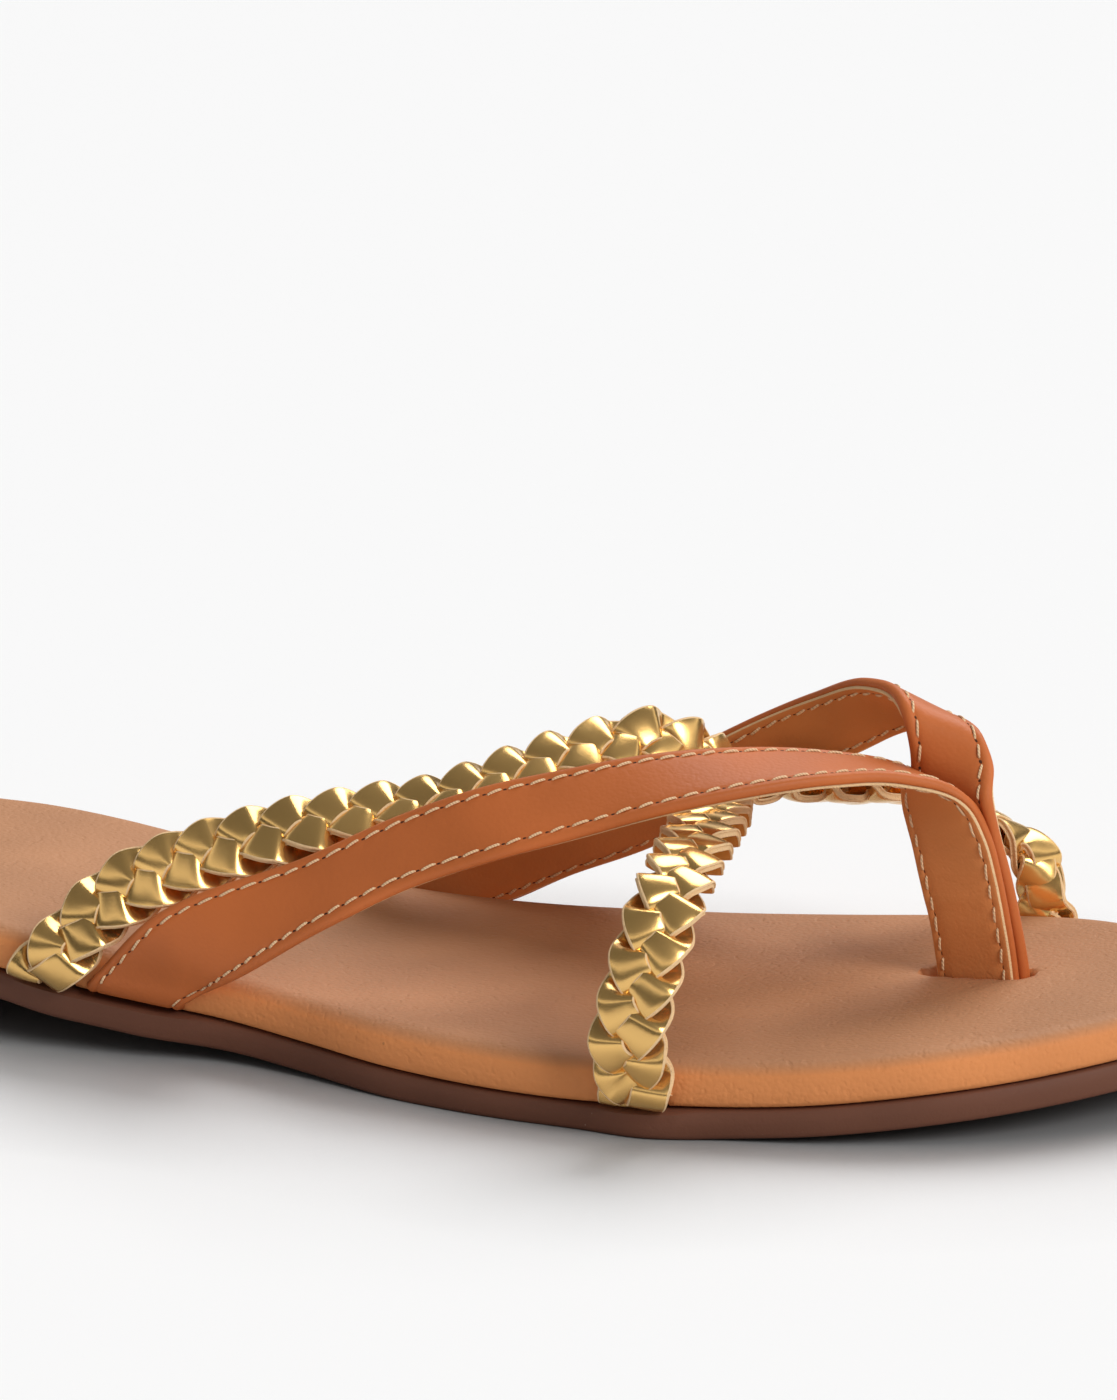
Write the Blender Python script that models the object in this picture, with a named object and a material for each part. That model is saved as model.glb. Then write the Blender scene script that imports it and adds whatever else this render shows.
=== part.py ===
# Flat toe-post sandal for the right foot: outsole, padded footbed, two tan straps, two braids.
# Metres. +X points to the toes, +Y to the inner side of the foot, +Z up, the floor is z = 0.
import math

import bmesh
import bpy
import numpy as np

# Driving sizes
LENGTH = 0.245
BALL_WIDTH = 0.0805
CREST_HEIGHT = 0.055
FOOTBED_THICK = 0.0068
OUTSOLE_THICK = 0.0045
HEEL_BLOCK_END = 0.040
HEEL_SLOPE_RUN = 0.005
EDGE_ROUND = 0.0042
FOOTBED_UNDERCUT = 0.0010
FOOTBED_DISH = 0.0006
OUTSOLE_INSET = 0.0005
OUTSOLE_BOTTOM_ROUND = 0.0022
STRAP_THICK = 0.0023
BRAID_THICK = 0.0048
BRAID_END_THICK = 0.0023
BRAID_PITCH = 0.0070
BRAID_RELIEF = 0.0011
BRAID_FLAT_END = 0.0140
BRAID_SWELL_RUN = 0.0080
PIECE_GAP = 0.0003
RECESS_HEIGHT = 0.0029
RECESS_OPEN = 0.0040
TUCK_DEPTH = 0.0090
TUCK_RISE = 0.0036
TUCK_RISE_SHARE = 0.6
TUCK_LEAN = 0.9
STRAP_STAND_OFF = 0.0019
BRAID_STAND_OFF = 0.0022
STRAP_STEP = 0.0036
BEND_TURN = math.radians(15)
RECESS_GAP = 0.0006
POST_OVERLAP = 0.0004
POST_STEP = 0.0008
FOLD_FLARE = 0.0014
ACROSS_SHIFT = 0.00118

# Plan outline of the footbed. Columns: along as a share of LENGTH, across as a share of BALL_WIDTH.
OUTLINE = (
    (0.000, 0.010), (0.018, -0.180), (0.065, -0.312), (0.143, -0.364), (0.245, -0.383),
    (0.327, -0.373), (0.388, -0.368), (0.449, -0.405), (0.510, -0.460), (0.612, -0.508),
    (0.702, -0.497), (0.796, -0.457), (0.890, -0.347), (0.959, -0.172), (0.990, -0.052),
    (1.000, 0.055), (0.990, 0.164), (0.960, 0.285), (0.890, 0.435), (0.796, 0.494), (0.702, 0.473), (0.612, 0.420),
    (0.510, 0.360), (0.388, 0.327), (0.245, 0.345), (0.143, 0.355), (0.065, 0.315),
    (0.018, 0.192),
)
# Height of the footbed's top. Columns: along as a share of LENGTH, up as a share of CREST_HEIGHT.
TOP_LINE = (
    (0.00, 0.396), (0.22, 0.350), (0.34, 0.274), (0.45, 0.227), (0.58, 0.205),
    (0.68, 0.205), (0.78, 0.230), (0.88, 0.278), (1.00, 0.332),
)
# Strap edges. Columns: the front edge, then the rear edge, each as along / LENGTH,
# across / BALL_WIDTH and up / CREST_HEIGHT, at the middle of the strap's thickness.
OUTER_STRAP = (
    (0.411, -0.432, 0.286, 0.348, -0.409, 0.415),
    (0.479, -0.449, 0.478, 0.456, -0.364, 0.633),
    (0.529, -0.434, 0.599, 0.509, -0.329, 0.747),
    (0.579, -0.395, 0.679, 0.558, -0.295, 0.831),
    (0.628, -0.342, 0.742, 0.605, -0.232, 0.873),
    (0.674, -0.276, 0.797, 0.648, -0.159, 0.898),
    (0.719, -0.191, 0.831, 0.689, -0.068, 0.893),
    (0.762, -0.091, 0.842, 0.730, 0.032, 0.862),
    (0.800, 0.002, 0.820, 0.772, 0.132, 0.800),
)
INNER_STRAP = (
    (0.480, 0.400, 0.168, 0.437, 0.374, 0.352),
    (0.528, 0.434, 0.267, 0.513, 0.370, 0.477),
    (0.567, 0.442, 0.337, 0.548, 0.381, 0.541),
    (0.606, 0.436, 0.427, 0.583, 0.377, 0.622),
    (0.646, 0.421, 0.529, 0.621, 0.371, 0.715),
    (0.686, 0.400, 0.625, 0.660, 0.361, 0.812),
    (0.726, 0.369, 0.726, 0.700, 0.317, 0.905),
    (0.771, 0.313, 0.840, 0.742, 0.241, 0.989),
    (0.802, 0.256, 0.884, 0.768, 0.181, 0.993),
    (0.826, 0.193, 0.877, 0.780, 0.140, 0.945),
    (0.837, 0.153, 0.826, 0.785, 0.140, 0.847),
)
# The toe post, where both tan straps go down face to face. Edges as above, for the outer strap.
TOE_POST = (
    (0.819, 0.046, 0.787, 0.778, 0.150, 0.774),
    (0.833, 0.069, 0.738, 0.780, 0.146, 0.687),
    (0.842, 0.081, 0.651, 0.786, 0.131, 0.609),
    (0.849, 0.084, 0.535, 0.793, 0.117, 0.497),
    (0.854, 0.086, 0.416, 0.799, 0.117, 0.387),
    (0.858, 0.089, 0.292, 0.803, 0.120, 0.266),
    (0.861, 0.090, 0.155, 0.806, 0.121, 0.150),
)
LONG_BRAID = (
    (0.334, -0.374, 0.385, 0.306, -0.330, 0.520),
    (0.382, -0.359, 0.500, 0.361, -0.300, 0.640),
    (0.432, -0.359, 0.589, 0.415, -0.264, 0.712),
    (0.483, -0.321, 0.649, 0.467, -0.214, 0.755),
    (0.531, -0.266, 0.693, 0.509, -0.162, 0.779),
    (0.574, -0.180, 0.751, 0.545, -0.092, 0.836),
    (0.614, -0.069, 0.792, 0.585, 0.006, 0.890),
    (0.632, 0.008, 0.771, 0.621, 0.084, 0.924),
    (0.650, 0.079, 0.714, 0.648, 0.150, 0.868),
    (0.672, 0.135, 0.680, 0.654, 0.230, 0.768),
    (0.694, 0.205, 0.674, 0.667, 0.310, 0.666),
    (0.731, 0.302, 0.655, 0.704, 0.400, 0.597),
    (0.766, 0.385, 0.627, 0.743, 0.494, 0.568),
    (0.796, 0.448, 0.530, 0.788, 0.556, 0.468),
    (0.815, 0.490, 0.388, 0.836, 0.558, 0.378),
)
SHORT_BRAID = (
    (0.707, -0.560, 0.295, 0.662, -0.567, 0.295),
    (0.712, -0.544, 0.411, 0.668, -0.559, 0.429),
    (0.716, -0.504, 0.520, 0.673, -0.524, 0.556),
    (0.718, -0.430, 0.615, 0.676, -0.460, 0.665),
    (0.714, -0.318, 0.663, 0.673, -0.350, 0.703),
    (0.708, -0.181, 0.685, 0.665, -0.219, 0.710),
    (0.700, -0.050, 0.685, 0.656, -0.080, 0.703),
    (0.686, 0.092, 0.665, 0.645, 0.037, 0.687),
    (0.656, 0.216, 0.640, 0.623, 0.129, 0.673),
    (0.615, 0.303, 0.585, 0.590, 0.199, 0.655),
    (0.566, 0.350, 0.510, 0.544, 0.245, 0.610),
    (0.513, 0.343, 0.455, 0.492, 0.243, 0.564),
    (0.459, 0.328, 0.409, 0.433, 0.241, 0.513),
    (0.408, 0.333, 0.345, 0.380, 0.268, 0.450),
    (0.368, 0.352, 0.305, 0.330, 0.328, 0.385),
)
# Where each strap meets the sole. Columns: front edge and rear edge as along / LENGTH.
OUTER_STRAP_END = (0.367, 0.303)
INNER_STRAP_END = (0.437, 0.376)
LONG_BRAID_START = (0.295, 0.252)
LONG_BRAID_FINISH = (0.814, 0.857)
SHORT_BRAID_START = (0.706, 0.661)
SHORT_BRAID_FINISH = (0.345, 0.299)

NAMED_SIZES = np.array((LENGTH, BALL_WIDTH, CREST_HEIGHT))


def unit(v):
    return v / np.linalg.norm(v, axis=-1, keepdims=True)


def spline(rows, per_span, closed=False):
    """Smooth curve through the rows, by chord length."""
    rows = np.asarray(rows, float)
    if closed:
        rows = np.vstack((rows[-1], rows, rows[0], rows[1]))
    span = np.linalg.norm(np.diff(rows, axis=0), axis=1)[:, None]
    slope = np.diff(rows, axis=0) / span
    tangent = np.empty_like(rows)
    tangent[1:-1] = (slope[:-1] * span[1:] + slope[1:] * span[:-1]) / (span[1:] + span[:-1])
    tangent[0] = slope[0]
    tangent[-1] = slope[-1]
    t = np.linspace(0.0, 1.0, per_span, endpoint=False)[:, None]
    out = []
    first, last = (1, len(rows) - 2) if closed else (0, len(rows) - 1)
    for i in range(first, last):
        h = span[i]
        out.append(
            (2 * t**3 - 3 * t**2 + 1) * rows[i]
            + (t**3 - 2 * t**2 + t) * h * tangent[i]
            + (3 * t**2 - 2 * t**3) * rows[i + 1]
            + (t**3 - t**2) * h * tangent[i + 1]
        )
    if not closed:
        out.append(rows[-1:])
    return np.concatenate(out)


class Last:
    """The plan outline and the height of the footbed."""

    def __init__(self):
        loop = spline(np.array(OUTLINE) * NAMED_SIZES[:2], 12, closed=True)
        heel = int(np.argmin(loop[:, 0]))
        loop = np.roll(loop, -heel, axis=0)
        toe = int(np.argmax(loop[:, 0]))
        self.outer = loop[: toe + 1]
        self.inner = np.vstack((loop[toe:], loop[:1]))[::-1]
        self.top = spline(np.array(TOP_LINE) * NAMED_SIZES[[0, 2]], 12)

    def side(self, x, inner):
        rows = self.inner if inner else self.outer
        return np.interp(x, rows[:, 0], rows[:, 1])

    def top_z(self, x):
        return np.interp(x, self.top[:, 0], self.top[:, 1])

    def joint_z(self, x):
        return self.top_z(x) - FOOTBED_THICK


LAST = Last()


def tuck_rows(ends, inner, stand_off, wall, first, reach=1.0):
    """Rows for a strap's end: under the footbed, round its lower corner and out at its side.

    Outside, both edges lean towards the strap's first free row.
    """
    sign = 1.0 if inner else -1.0
    lift = PIECE_GAP + wall / 2
    # Columns: inwards from the side, up as a share of the rise, back along the sole
    steps = (
        (TUCK_DEPTH * reach, 0.0, 0.35 * TUCK_DEPTH * reach),
        (0.32 * TUCK_DEPTH, 0.0, 0.12 * TUCK_DEPTH),
        (0.03 * TUCK_DEPTH, 0.0, 0.04 * TUCK_DEPTH),
        (-0.58 * stand_off, 0.15, 0.01 * TUCK_DEPTH),
        (-0.92 * stand_off, 0.5, 0.0),
        (-stand_off, 1.0, 0.0),
    )
    rows = []
    for inwards, up, back in steps:
        row = []
        for share, free in zip(ends, (first[:3], first[3:])):
            root = share * LENGTH
            free_rise = free[2] - LAST.joint_z(root) - lift
            rise = min(TUCK_RISE, TUCK_RISE_SHARE * free_rise)
            lean = TUCK_LEAN * (free[0] - root) / free_rise
            x = root - back + lean * rise * max(0.0, up - steps[3][1])
            row += [x, LAST.side(x, inner) - sign * inwards, LAST.joint_z(x) + lift + up * rise]
        rows.append(row)
    return np.array(rows)


def table(rows):
    return np.array(rows) * np.tile(NAMED_SIZES, 2)


def facing(rows, offset):
    """The same rows moved along the wall's outward normal."""
    centre = (rows[:, :3] + rows[:, 3:]) / 2
    across = unit(rows[:, 3:] - rows[:, :3])
    normal = unit(np.cross(np.gradient(centre, axis=0), across))
    return rows + offset * np.hstack((normal, normal))


def spacing(fine, run, step, turn):
    """Places at most a step apart, and closer where the wall bends by more than the turn."""
    centre = (fine[:, :3] + fine[:, 3:]) / 2
    along = unit(np.gradient(centre, axis=0))
    normal = unit(np.cross(along, fine[:, 3:] - fine[:, :3]))
    keep = [0]
    for i in range(1, len(run) - 1):
        last = keep[-1]
        bend = math.acos(min(1.0, min(along[i] @ along[last], normal[i] @ normal[last])))
        if run[i] - run[last] >= step or bend >= turn:
            keep.append(i)
    return run[keep + [len(run) - 1]]


def sections(rows, step, outward, turn=None):
    """Front edge, rear edge, outward normal and distance along the strap, section by section."""
    fine = spline(rows, 24)
    centre = (fine[:, :3] + fine[:, 3:]) / 2
    run = np.r_[0.0, np.cumsum(np.linalg.norm(np.diff(centre, axis=0), axis=1))]
    if turn:
        at = spacing(fine, run, step, turn)
    else:
        at = np.linspace(0.0, run[-1], max(4, round(run[-1] / step)) + 1)
    even = np.column_stack([np.interp(at, run, fine[:, i]) for i in range(6)])
    centre = (even[:, :3] + even[:, 3:]) / 2
    along = unit(np.gradient(centre, axis=0))
    across = unit(even[:, 3:] - even[:, :3])
    normal = unit(np.cross(along, across)) * outward
    return even[:, :3], even[:, 3:], normal, at


# Ring of a wall's section. Columns: across from -1 to 1, out as a share of half the thickness.
FLAT_RING = (
    (-0.80, 1.0), (0.80, 1.0), (0.95, 0.80), (1.0, 0.10), (0.95, -0.85),
    (0.0, -1.0), (-0.95, -0.85), (-1.0, 0.10), (-0.95, 0.80),
)
BRAID_RING = (
    (-0.62, 1.0), (-0.20, 0.92), (0.20, 0.92), (0.62, 1.0), (0.90, 0.62), (1.0, 0.0),
    (0.86, -0.66), (0.0, -0.94), (-0.86, -0.66), (-1.0, 0.0), (-0.90, 0.62),
)


def solid(name, points, faces):
    mesh = bpy.data.meshes.new(name)
    mesh.from_pydata([tuple(p) for p in points], [], faces)
    mesh.update()
    work = bmesh.new()
    work.from_mesh(mesh)
    bmesh.ops.remove_doubles(work, verts=work.verts, dist=0.000001)
    bmesh.ops.recalc_face_normals(work, faces=work.faces)
    work.to_mesh(mesh)
    work.free()
    obj = bpy.data.objects.new(name, mesh)
    bpy.context.scene.collection.objects.link(obj)
    return obj


def tube(name, rings):
    """Closed skin over rings of equal count."""
    count = len(rings[0])
    points = np.concatenate(rings)
    faces = []
    for i in range(len(rings) - 1):
        for j in range(count):
            k = (j + 1) % count
            a, b = i * count, (i + 1) * count
            faces.append((a + j, a + k, b + k, b + j))
    faces.append(tuple(range(count))[::-1])
    faces.append(tuple((len(rings) - 1) * count + j for j in range(count)))
    return solid(name, points, faces)


def wall(name, rows, thick, outward, grow=0.0, step=STRAP_STEP):
    front, rear, normal, _ = sections(rows, step, outward, BEND_TURN)
    rings = []
    for a, b, n in zip(front, rear, normal):
        middle = (a + b) / 2
        half = (b - a) / 2
        half = half * (1.0 + 1.8 * grow / np.linalg.norm(half))
        rings.append([middle + half * u + n * v * (thick / 2 + grow) for u, v in FLAT_RING])
    return tube(name, rings)


def braid_height(run, across):
    """Raised strips of a flat plait: a row of pillows on each side, half a pitch apart."""
    side = 0.0 if across < 0 else 0.5
    phase = run / BRAID_PITCH + side + 0.45 * abs(across)
    return math.sqrt(abs(math.sin(math.pi * phase)))


def braid(name, rows, outward):
    front, rear, normal, at = sections(rows, BRAID_PITCH / 5, outward)
    flat = np.clip((np.minimum(at, at[-1] - at) - BRAID_FLAT_END) / BRAID_SWELL_RUN, 0.0, 1.0)
    rings = []
    for a, b, n, s, raised in zip(front, rear, normal, at, flat):
        middle = (a + b) / 2
        half = (b - a) / 2
        size = BRAID_END_THICK + (BRAID_THICK - BRAID_END_THICK) * raised
        ring = []
        for u, v in BRAID_RING:
            h = braid_height(s, u)
            wide = 1.0 - 0.07 * (1.0 - h) * raised
            drop = BRAID_RELIEF * (1.0 - h) * raised if abs(v) > 0.5 else 0.0
            reach = size / 2 * v - math.copysign(drop, v)
            ring.append(middle + half * u * wide + n * reach)
        rings.append(ring)
    return tube(name, rings)


def loops(stations, inset):
    """Inset copy of the outline at the stations, outer side then inner side."""
    count = len(stations)
    outer = np.column_stack((stations, LAST.side(stations, False)))
    inner = np.column_stack((stations, LAST.side(stations, True)))
    loop = np.vstack((outer, inner[-2:0:-1]))
    normal = np.roll(loop, -1, axis=0) - np.roll(loop, 1, axis=0)
    normal = unit(np.column_stack((-normal[:, 1], normal[:, 0])))
    moved = loop + normal * inset
    order = list(range(count)), [0] + list(range(len(loop) - 1, count - 2, -1))
    return moved, order


def sole_stations(extra=()):
    even = LENGTH * (1 - np.cos(np.linspace(0, math.pi, 35))) / 2
    keep = [x for x in even if all(abs(x - e) > 0.0025 for e in extra)]
    return np.array(sorted(keep + list(extra)))


def slab(name, stations, rings, cup=0.0):
    """Sole layer from rings, each an inset and a height function, bottom first."""
    skins = []
    for inset, height in rings:
        flat, order = loops(stations, inset)
        skins.append(np.column_stack((flat, [height(x) for x in flat[:, 0]])))
    count = len(skins[0])
    points = [p for skin in skins for p in skin]
    faces = []
    for i in range(len(skins) - 1):
        for j in range(count):
            k = (j + 1) % count
            faces.append((i * count + j, i * count + k, (i + 1) * count + k, (i + 1) * count + j))
    across = 4
    for which, flip in ((0, True), (len(skins) - 1, False)):
        base = which * count
        lines = []
        for a, b in zip(*order):
            pa, pb = skins[which][a], skins[which][b]
            line = [base + a]
            for m in range(1, across):
                if a != b:
                    p = pa + (pb - pa) * m / across
                    p[2] -= cup * math.sin(math.pi * m / across) if which else 0.0
                    line.append(len(points))
                    points.append(p)
                else:
                    line.append(base + a)
            line.append(base + b)
            lines.append(line)
        for one, two in zip(lines, lines[1:]):
            for m in range(across):
                quad = [one[m], one[m + 1], two[m + 1], two[m]]
                quad = [q for n, q in enumerate(quad) if q not in quad[:n]]
                if len(quad) > 2:
                    faces.append(tuple(quad[::-1] if flip else quad))
    return solid(name, np.array(points), faces)


def material(name, colour, rough, metal=0.0):
    out = bpy.data.materials.new(name)
    out.use_nodes = True
    shader = out.node_tree.nodes["Principled BSDF"]
    shader.inputs["Base Color"].default_value = colour + (1.0,)
    shader.inputs["Roughness"].default_value = rough
    shader.inputs["Metallic"].default_value = metal
    out.diffuse_color = colour + (1.0,)
    return out


def boolean(obj, other, operation):
    mod = obj.modifiers.new(operation.lower() + "_" + other.name, "BOOLEAN")
    mod.object = other
    mod.operation = operation
    mod.solver = "EXACT"
    other.hide_render = True
    other.hide_viewport = True
    other.display_type = "WIRE"


def apply(obj):
    """Bake the booleans, so that each part is one plain mesh."""
    view = bpy.context.evaluated_depsgraph_get()
    view.update()
    baked = bpy.data.meshes.new_from_object(obj.evaluated_get(view))
    for mod in list(obj.modifiers):
        cutter = mod.object
        obj.modifiers.remove(mod)
        bpy.data.objects.remove(cutter, do_unlink=True)
    obj.data = baked


def finish(obj, colour, rough, metal=0.0):
    obj.data.materials.clear()
    obj.data.materials.append(material(obj.name, colour, rough, metal))
    shift = np.array((-LENGTH / 2, ACROSS_SHIFT, 0.0))
    for vertex in obj.data.vertices:
        vertex.co = [c + s for c, s in zip(vertex.co, shift)]
    for polygon in obj.data.polygons:
        polygon.use_smooth = True
        polygon.material_index = 0
    obj.data.set_sharp_from_angle(angle=math.radians(50))


def outsole_bottom(x):
    """Underside: a low moulded heel, a raised waist, a flat ball and a toe spring."""
    thick = LAST.joint_z(x) - PIECE_GAP - OUTSOLE_THICK
    raised = max(0.0, thick)
    if x < HEEL_BLOCK_END:
        return 0.0
    return raised * min(1.0, (x - HEEL_BLOCK_END) / HEEL_SLOPE_RUN)


def main():
    for obj in list(bpy.data.objects):
        bpy.data.objects.remove(obj, do_unlink=True)

    post = table(TOE_POST)
    outer_free, inner_free = table(OUTER_STRAP), table(INNER_STRAP)
    long_free, short_free = table(LONG_BRAID), table(SHORT_BRAID)
    ends = {
        "outer": (OUTER_STRAP_END, False, STRAP_STAND_OFF, STRAP_THICK, outer_free[0]),
        "inner": (INNER_STRAP_END, True, STRAP_STAND_OFF, STRAP_THICK, inner_free[0]),
        "long_start": (LONG_BRAID_START, False, BRAID_STAND_OFF, BRAID_END_THICK, long_free[0]),
        "long_finish": (LONG_BRAID_FINISH, True, BRAID_STAND_OFF, BRAID_END_THICK, long_free[-1]),
        "short_start": (SHORT_BRAID_START, False, BRAID_STAND_OFF, BRAID_END_THICK, short_free[0]),
        "short_finish": (SHORT_BRAID_FINISH, True, BRAID_STAND_OFF, BRAID_END_THICK, short_free[-1]),
    }
    tucks = {name: tuck_rows(*values) for name, values in ends.items()}
    inner_post = facing(post, STRAP_THICK - POST_OVERLAP)[1:]
    inner_post[:, [0, 3]] += POST_STEP * np.linspace(0.0, 1.0, len(inner_post))[:, None]
    inner_post[0, 0] += FOLD_FLARE
    outer = np.vstack((tucks["outer"], outer_free, post))
    inner = np.vstack((tucks["inner"], inner_free, inner_post))
    long_rows = np.vstack((tucks["long_start"], long_free, tucks["long_finish"][::-1]))
    short_rows = np.vstack((tucks["short_start"], short_free, tucks["short_finish"][::-1]))

    thong = wall("thong_straps", outer, STRAP_THICK, 1.0)
    boolean(thong, wall("inner_strap", inner, STRAP_THICK, -1.0), "UNION")
    apply(thong)
    finish(thong, (0.45, 0.17, 0.07), 0.5)

    braids = braid("braided_straps", long_rows, 1.0)
    boolean(braids, braid("short_braid", short_rows, 1.0), "UNION")
    apply(braids)
    finish(braids, (0.72, 0.50, 0.20), 0.3, 0.9)

    rise = FOOTBED_THICK
    stations = sole_stations()
    footbed = slab("footbed", stations, (
        (FOOTBED_UNDERCUT, LAST.joint_z),
        (FOOTBED_UNDERCUT * 0.2, lambda x: LAST.joint_z(x) + FOOTBED_UNDERCUT * 0.5),
        (0.0, lambda x: LAST.joint_z(x) + rise - EDGE_ROUND),
        (EDGE_ROUND * 0.10, lambda x: LAST.joint_z(x) + rise - EDGE_ROUND * 0.5),
        (EDGE_ROUND * 0.33, lambda x: LAST.joint_z(x) + rise - EDGE_ROUND * 0.16),
        (EDGE_ROUND * 0.85, LAST.top_z),
    ), cup=FOOTBED_DISH)
    both = facing(post, (STRAP_THICK - POST_OVERLAP) / 2)[2:]
    both[:, 0] += POST_STEP
    both = np.vstack((both, both[-1] + 0.6 * (both[-1] - both[-2])))
    slot = wall("slot", both, 2 * STRAP_THICK, 1.0, grow=PIECE_GAP)
    boolean(footbed, slot, "DIFFERENCE")
    for name, (shares, side, _, _, first) in ends.items():
        rows = tuck_rows(shares, side, STRAP_STAND_OFF, STRAP_THICK, first, reach=1.2)[:3]
        rows[2, [1, 4]] += RECESS_OPEN if side else -RECESS_OPEN
        rows[:, [2, 5]] = LAST.joint_z(rows[:, [0, 3]]) + RECESS_HEIGHT / 2 - RECESS_GAP
        cutter = wall("recess_" + name, rows, RECESS_HEIGHT, 1.0, grow=RECESS_GAP)
        boolean(footbed, cutter, "DIFFERENCE")
    apply(footbed)
    finish(footbed, (0.50, 0.27, 0.13), 0.6)

    stations = sole_stations((HEEL_BLOCK_END - 0.0005, HEEL_BLOCK_END + HEEL_SLOPE_RUN))
    bottom_round = OUTSOLE_BOTTOM_ROUND
    outsole = slab("outsole", stations, (
        (OUTSOLE_INSET + bottom_round * 0.45, outsole_bottom),
        (OUTSOLE_INSET + bottom_round * 0.10, lambda x: outsole_bottom(x) + bottom_round * 0.4),
        (OUTSOLE_INSET, lambda x: outsole_bottom(x) + bottom_round),
        (OUTSOLE_INSET, lambda x: LAST.joint_z(x) - PIECE_GAP),
    ))
    finish(outsole, (0.12, 0.06, 0.04), 0.7)


main()
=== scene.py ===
# Flat toe-post sandal for the right foot: the pieces that a maker cuts, stitches, plaits and lasts.
# Metres. +X points to the toes, +Y to the inner side of the foot, +Z up, the floor is z = 0.
import math

import bmesh
import bpy
import numpy as np
from bpy.props import FloatProperty, FloatVectorProperty, PointerProperty
from mathutils import Matrix, Vector


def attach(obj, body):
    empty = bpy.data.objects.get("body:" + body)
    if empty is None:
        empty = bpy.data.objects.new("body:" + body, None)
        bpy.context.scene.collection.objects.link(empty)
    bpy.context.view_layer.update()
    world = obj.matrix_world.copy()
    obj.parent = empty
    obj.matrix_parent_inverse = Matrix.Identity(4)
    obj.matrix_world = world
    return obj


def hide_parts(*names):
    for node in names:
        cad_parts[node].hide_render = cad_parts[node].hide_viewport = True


bl_info = {
    "name": "Flat toe-post sandal",
    "version": (1, 0, 0),
    "blender": (4, 5, 0),
    "location": "View3D > Sidebar > Sandal",
    "description": "Builds a padded sandal with stitched tan straps and plaited gold straps",
    "category": "Add Mesh",
}

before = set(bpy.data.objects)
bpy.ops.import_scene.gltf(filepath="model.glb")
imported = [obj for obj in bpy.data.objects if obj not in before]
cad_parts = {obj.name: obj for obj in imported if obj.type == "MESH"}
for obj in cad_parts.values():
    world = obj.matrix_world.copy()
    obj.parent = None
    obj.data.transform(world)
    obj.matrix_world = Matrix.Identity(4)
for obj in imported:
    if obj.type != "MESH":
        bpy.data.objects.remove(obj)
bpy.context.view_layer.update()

# Plan outline of the footbed. Columns: along as a share of the length, across as a share of the ball width.
OUTLINE = (
    (0.000, 0.010), (0.018, -0.180), (0.065, -0.312), (0.143, -0.364), (0.245, -0.383),
    (0.327, -0.373), (0.388, -0.368), (0.449, -0.405), (0.510, -0.460), (0.612, -0.508),
    (0.702, -0.497), (0.796, -0.457), (0.890, -0.347), (0.959, -0.172), (0.990, -0.052),
    (1.000, 0.055), (0.990, 0.164), (0.960, 0.285), (0.890, 0.435), (0.796, 0.494), (0.702, 0.473), (0.612, 0.420),
    (0.510, 0.360), (0.388, 0.327), (0.245, 0.345), (0.143, 0.355), (0.065, 0.315),
    (0.018, 0.192),
)
# Height of the footbed's top. Columns: along as a share of the length, up as a share of the crest height.
TOP_LINE = (
    (0.00, 0.396), (0.22, 0.350), (0.34, 0.274), (0.45, 0.227), (0.58, 0.205),
    (0.68, 0.205), (0.78, 0.230), (0.88, 0.278), (1.00, 0.332),
)
# Strap edges. Columns: the front edge, then the rear edge, each as along, across and up in shares of
# the length, the ball width and the crest height, at the middle of the strap's thickness.
OUTER_STRAP = (
    (0.411, -0.432, 0.286, 0.348, -0.409, 0.415),
    (0.479, -0.449, 0.478, 0.456, -0.364, 0.633),
    (0.529, -0.434, 0.599, 0.509, -0.329, 0.747),
    (0.579, -0.395, 0.679, 0.558, -0.295, 0.831),
    (0.628, -0.342, 0.742, 0.605, -0.232, 0.873),
    (0.674, -0.276, 0.797, 0.648, -0.159, 0.898),
    (0.719, -0.191, 0.831, 0.689, -0.068, 0.893),
    (0.762, -0.091, 0.842, 0.730, 0.032, 0.862),
    (0.800, 0.002, 0.820, 0.772, 0.132, 0.800),
)
INNER_STRAP = (
    (0.480, 0.400, 0.168, 0.437, 0.374, 0.352),
    (0.528, 0.434, 0.267, 0.513, 0.370, 0.477),
    (0.567, 0.442, 0.337, 0.548, 0.381, 0.541),
    (0.606, 0.436, 0.427, 0.583, 0.377, 0.622),
    (0.646, 0.421, 0.529, 0.621, 0.371, 0.715),
    (0.686, 0.400, 0.625, 0.660, 0.361, 0.812),
    (0.726, 0.369, 0.726, 0.700, 0.317, 0.905),
    (0.771, 0.313, 0.840, 0.742, 0.241, 0.989),
    (0.802, 0.256, 0.884, 0.768, 0.181, 0.993),
    (0.826, 0.193, 0.877, 0.780, 0.140, 0.945),
    (0.837, 0.153, 0.826, 0.785, 0.140, 0.847),
)
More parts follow.
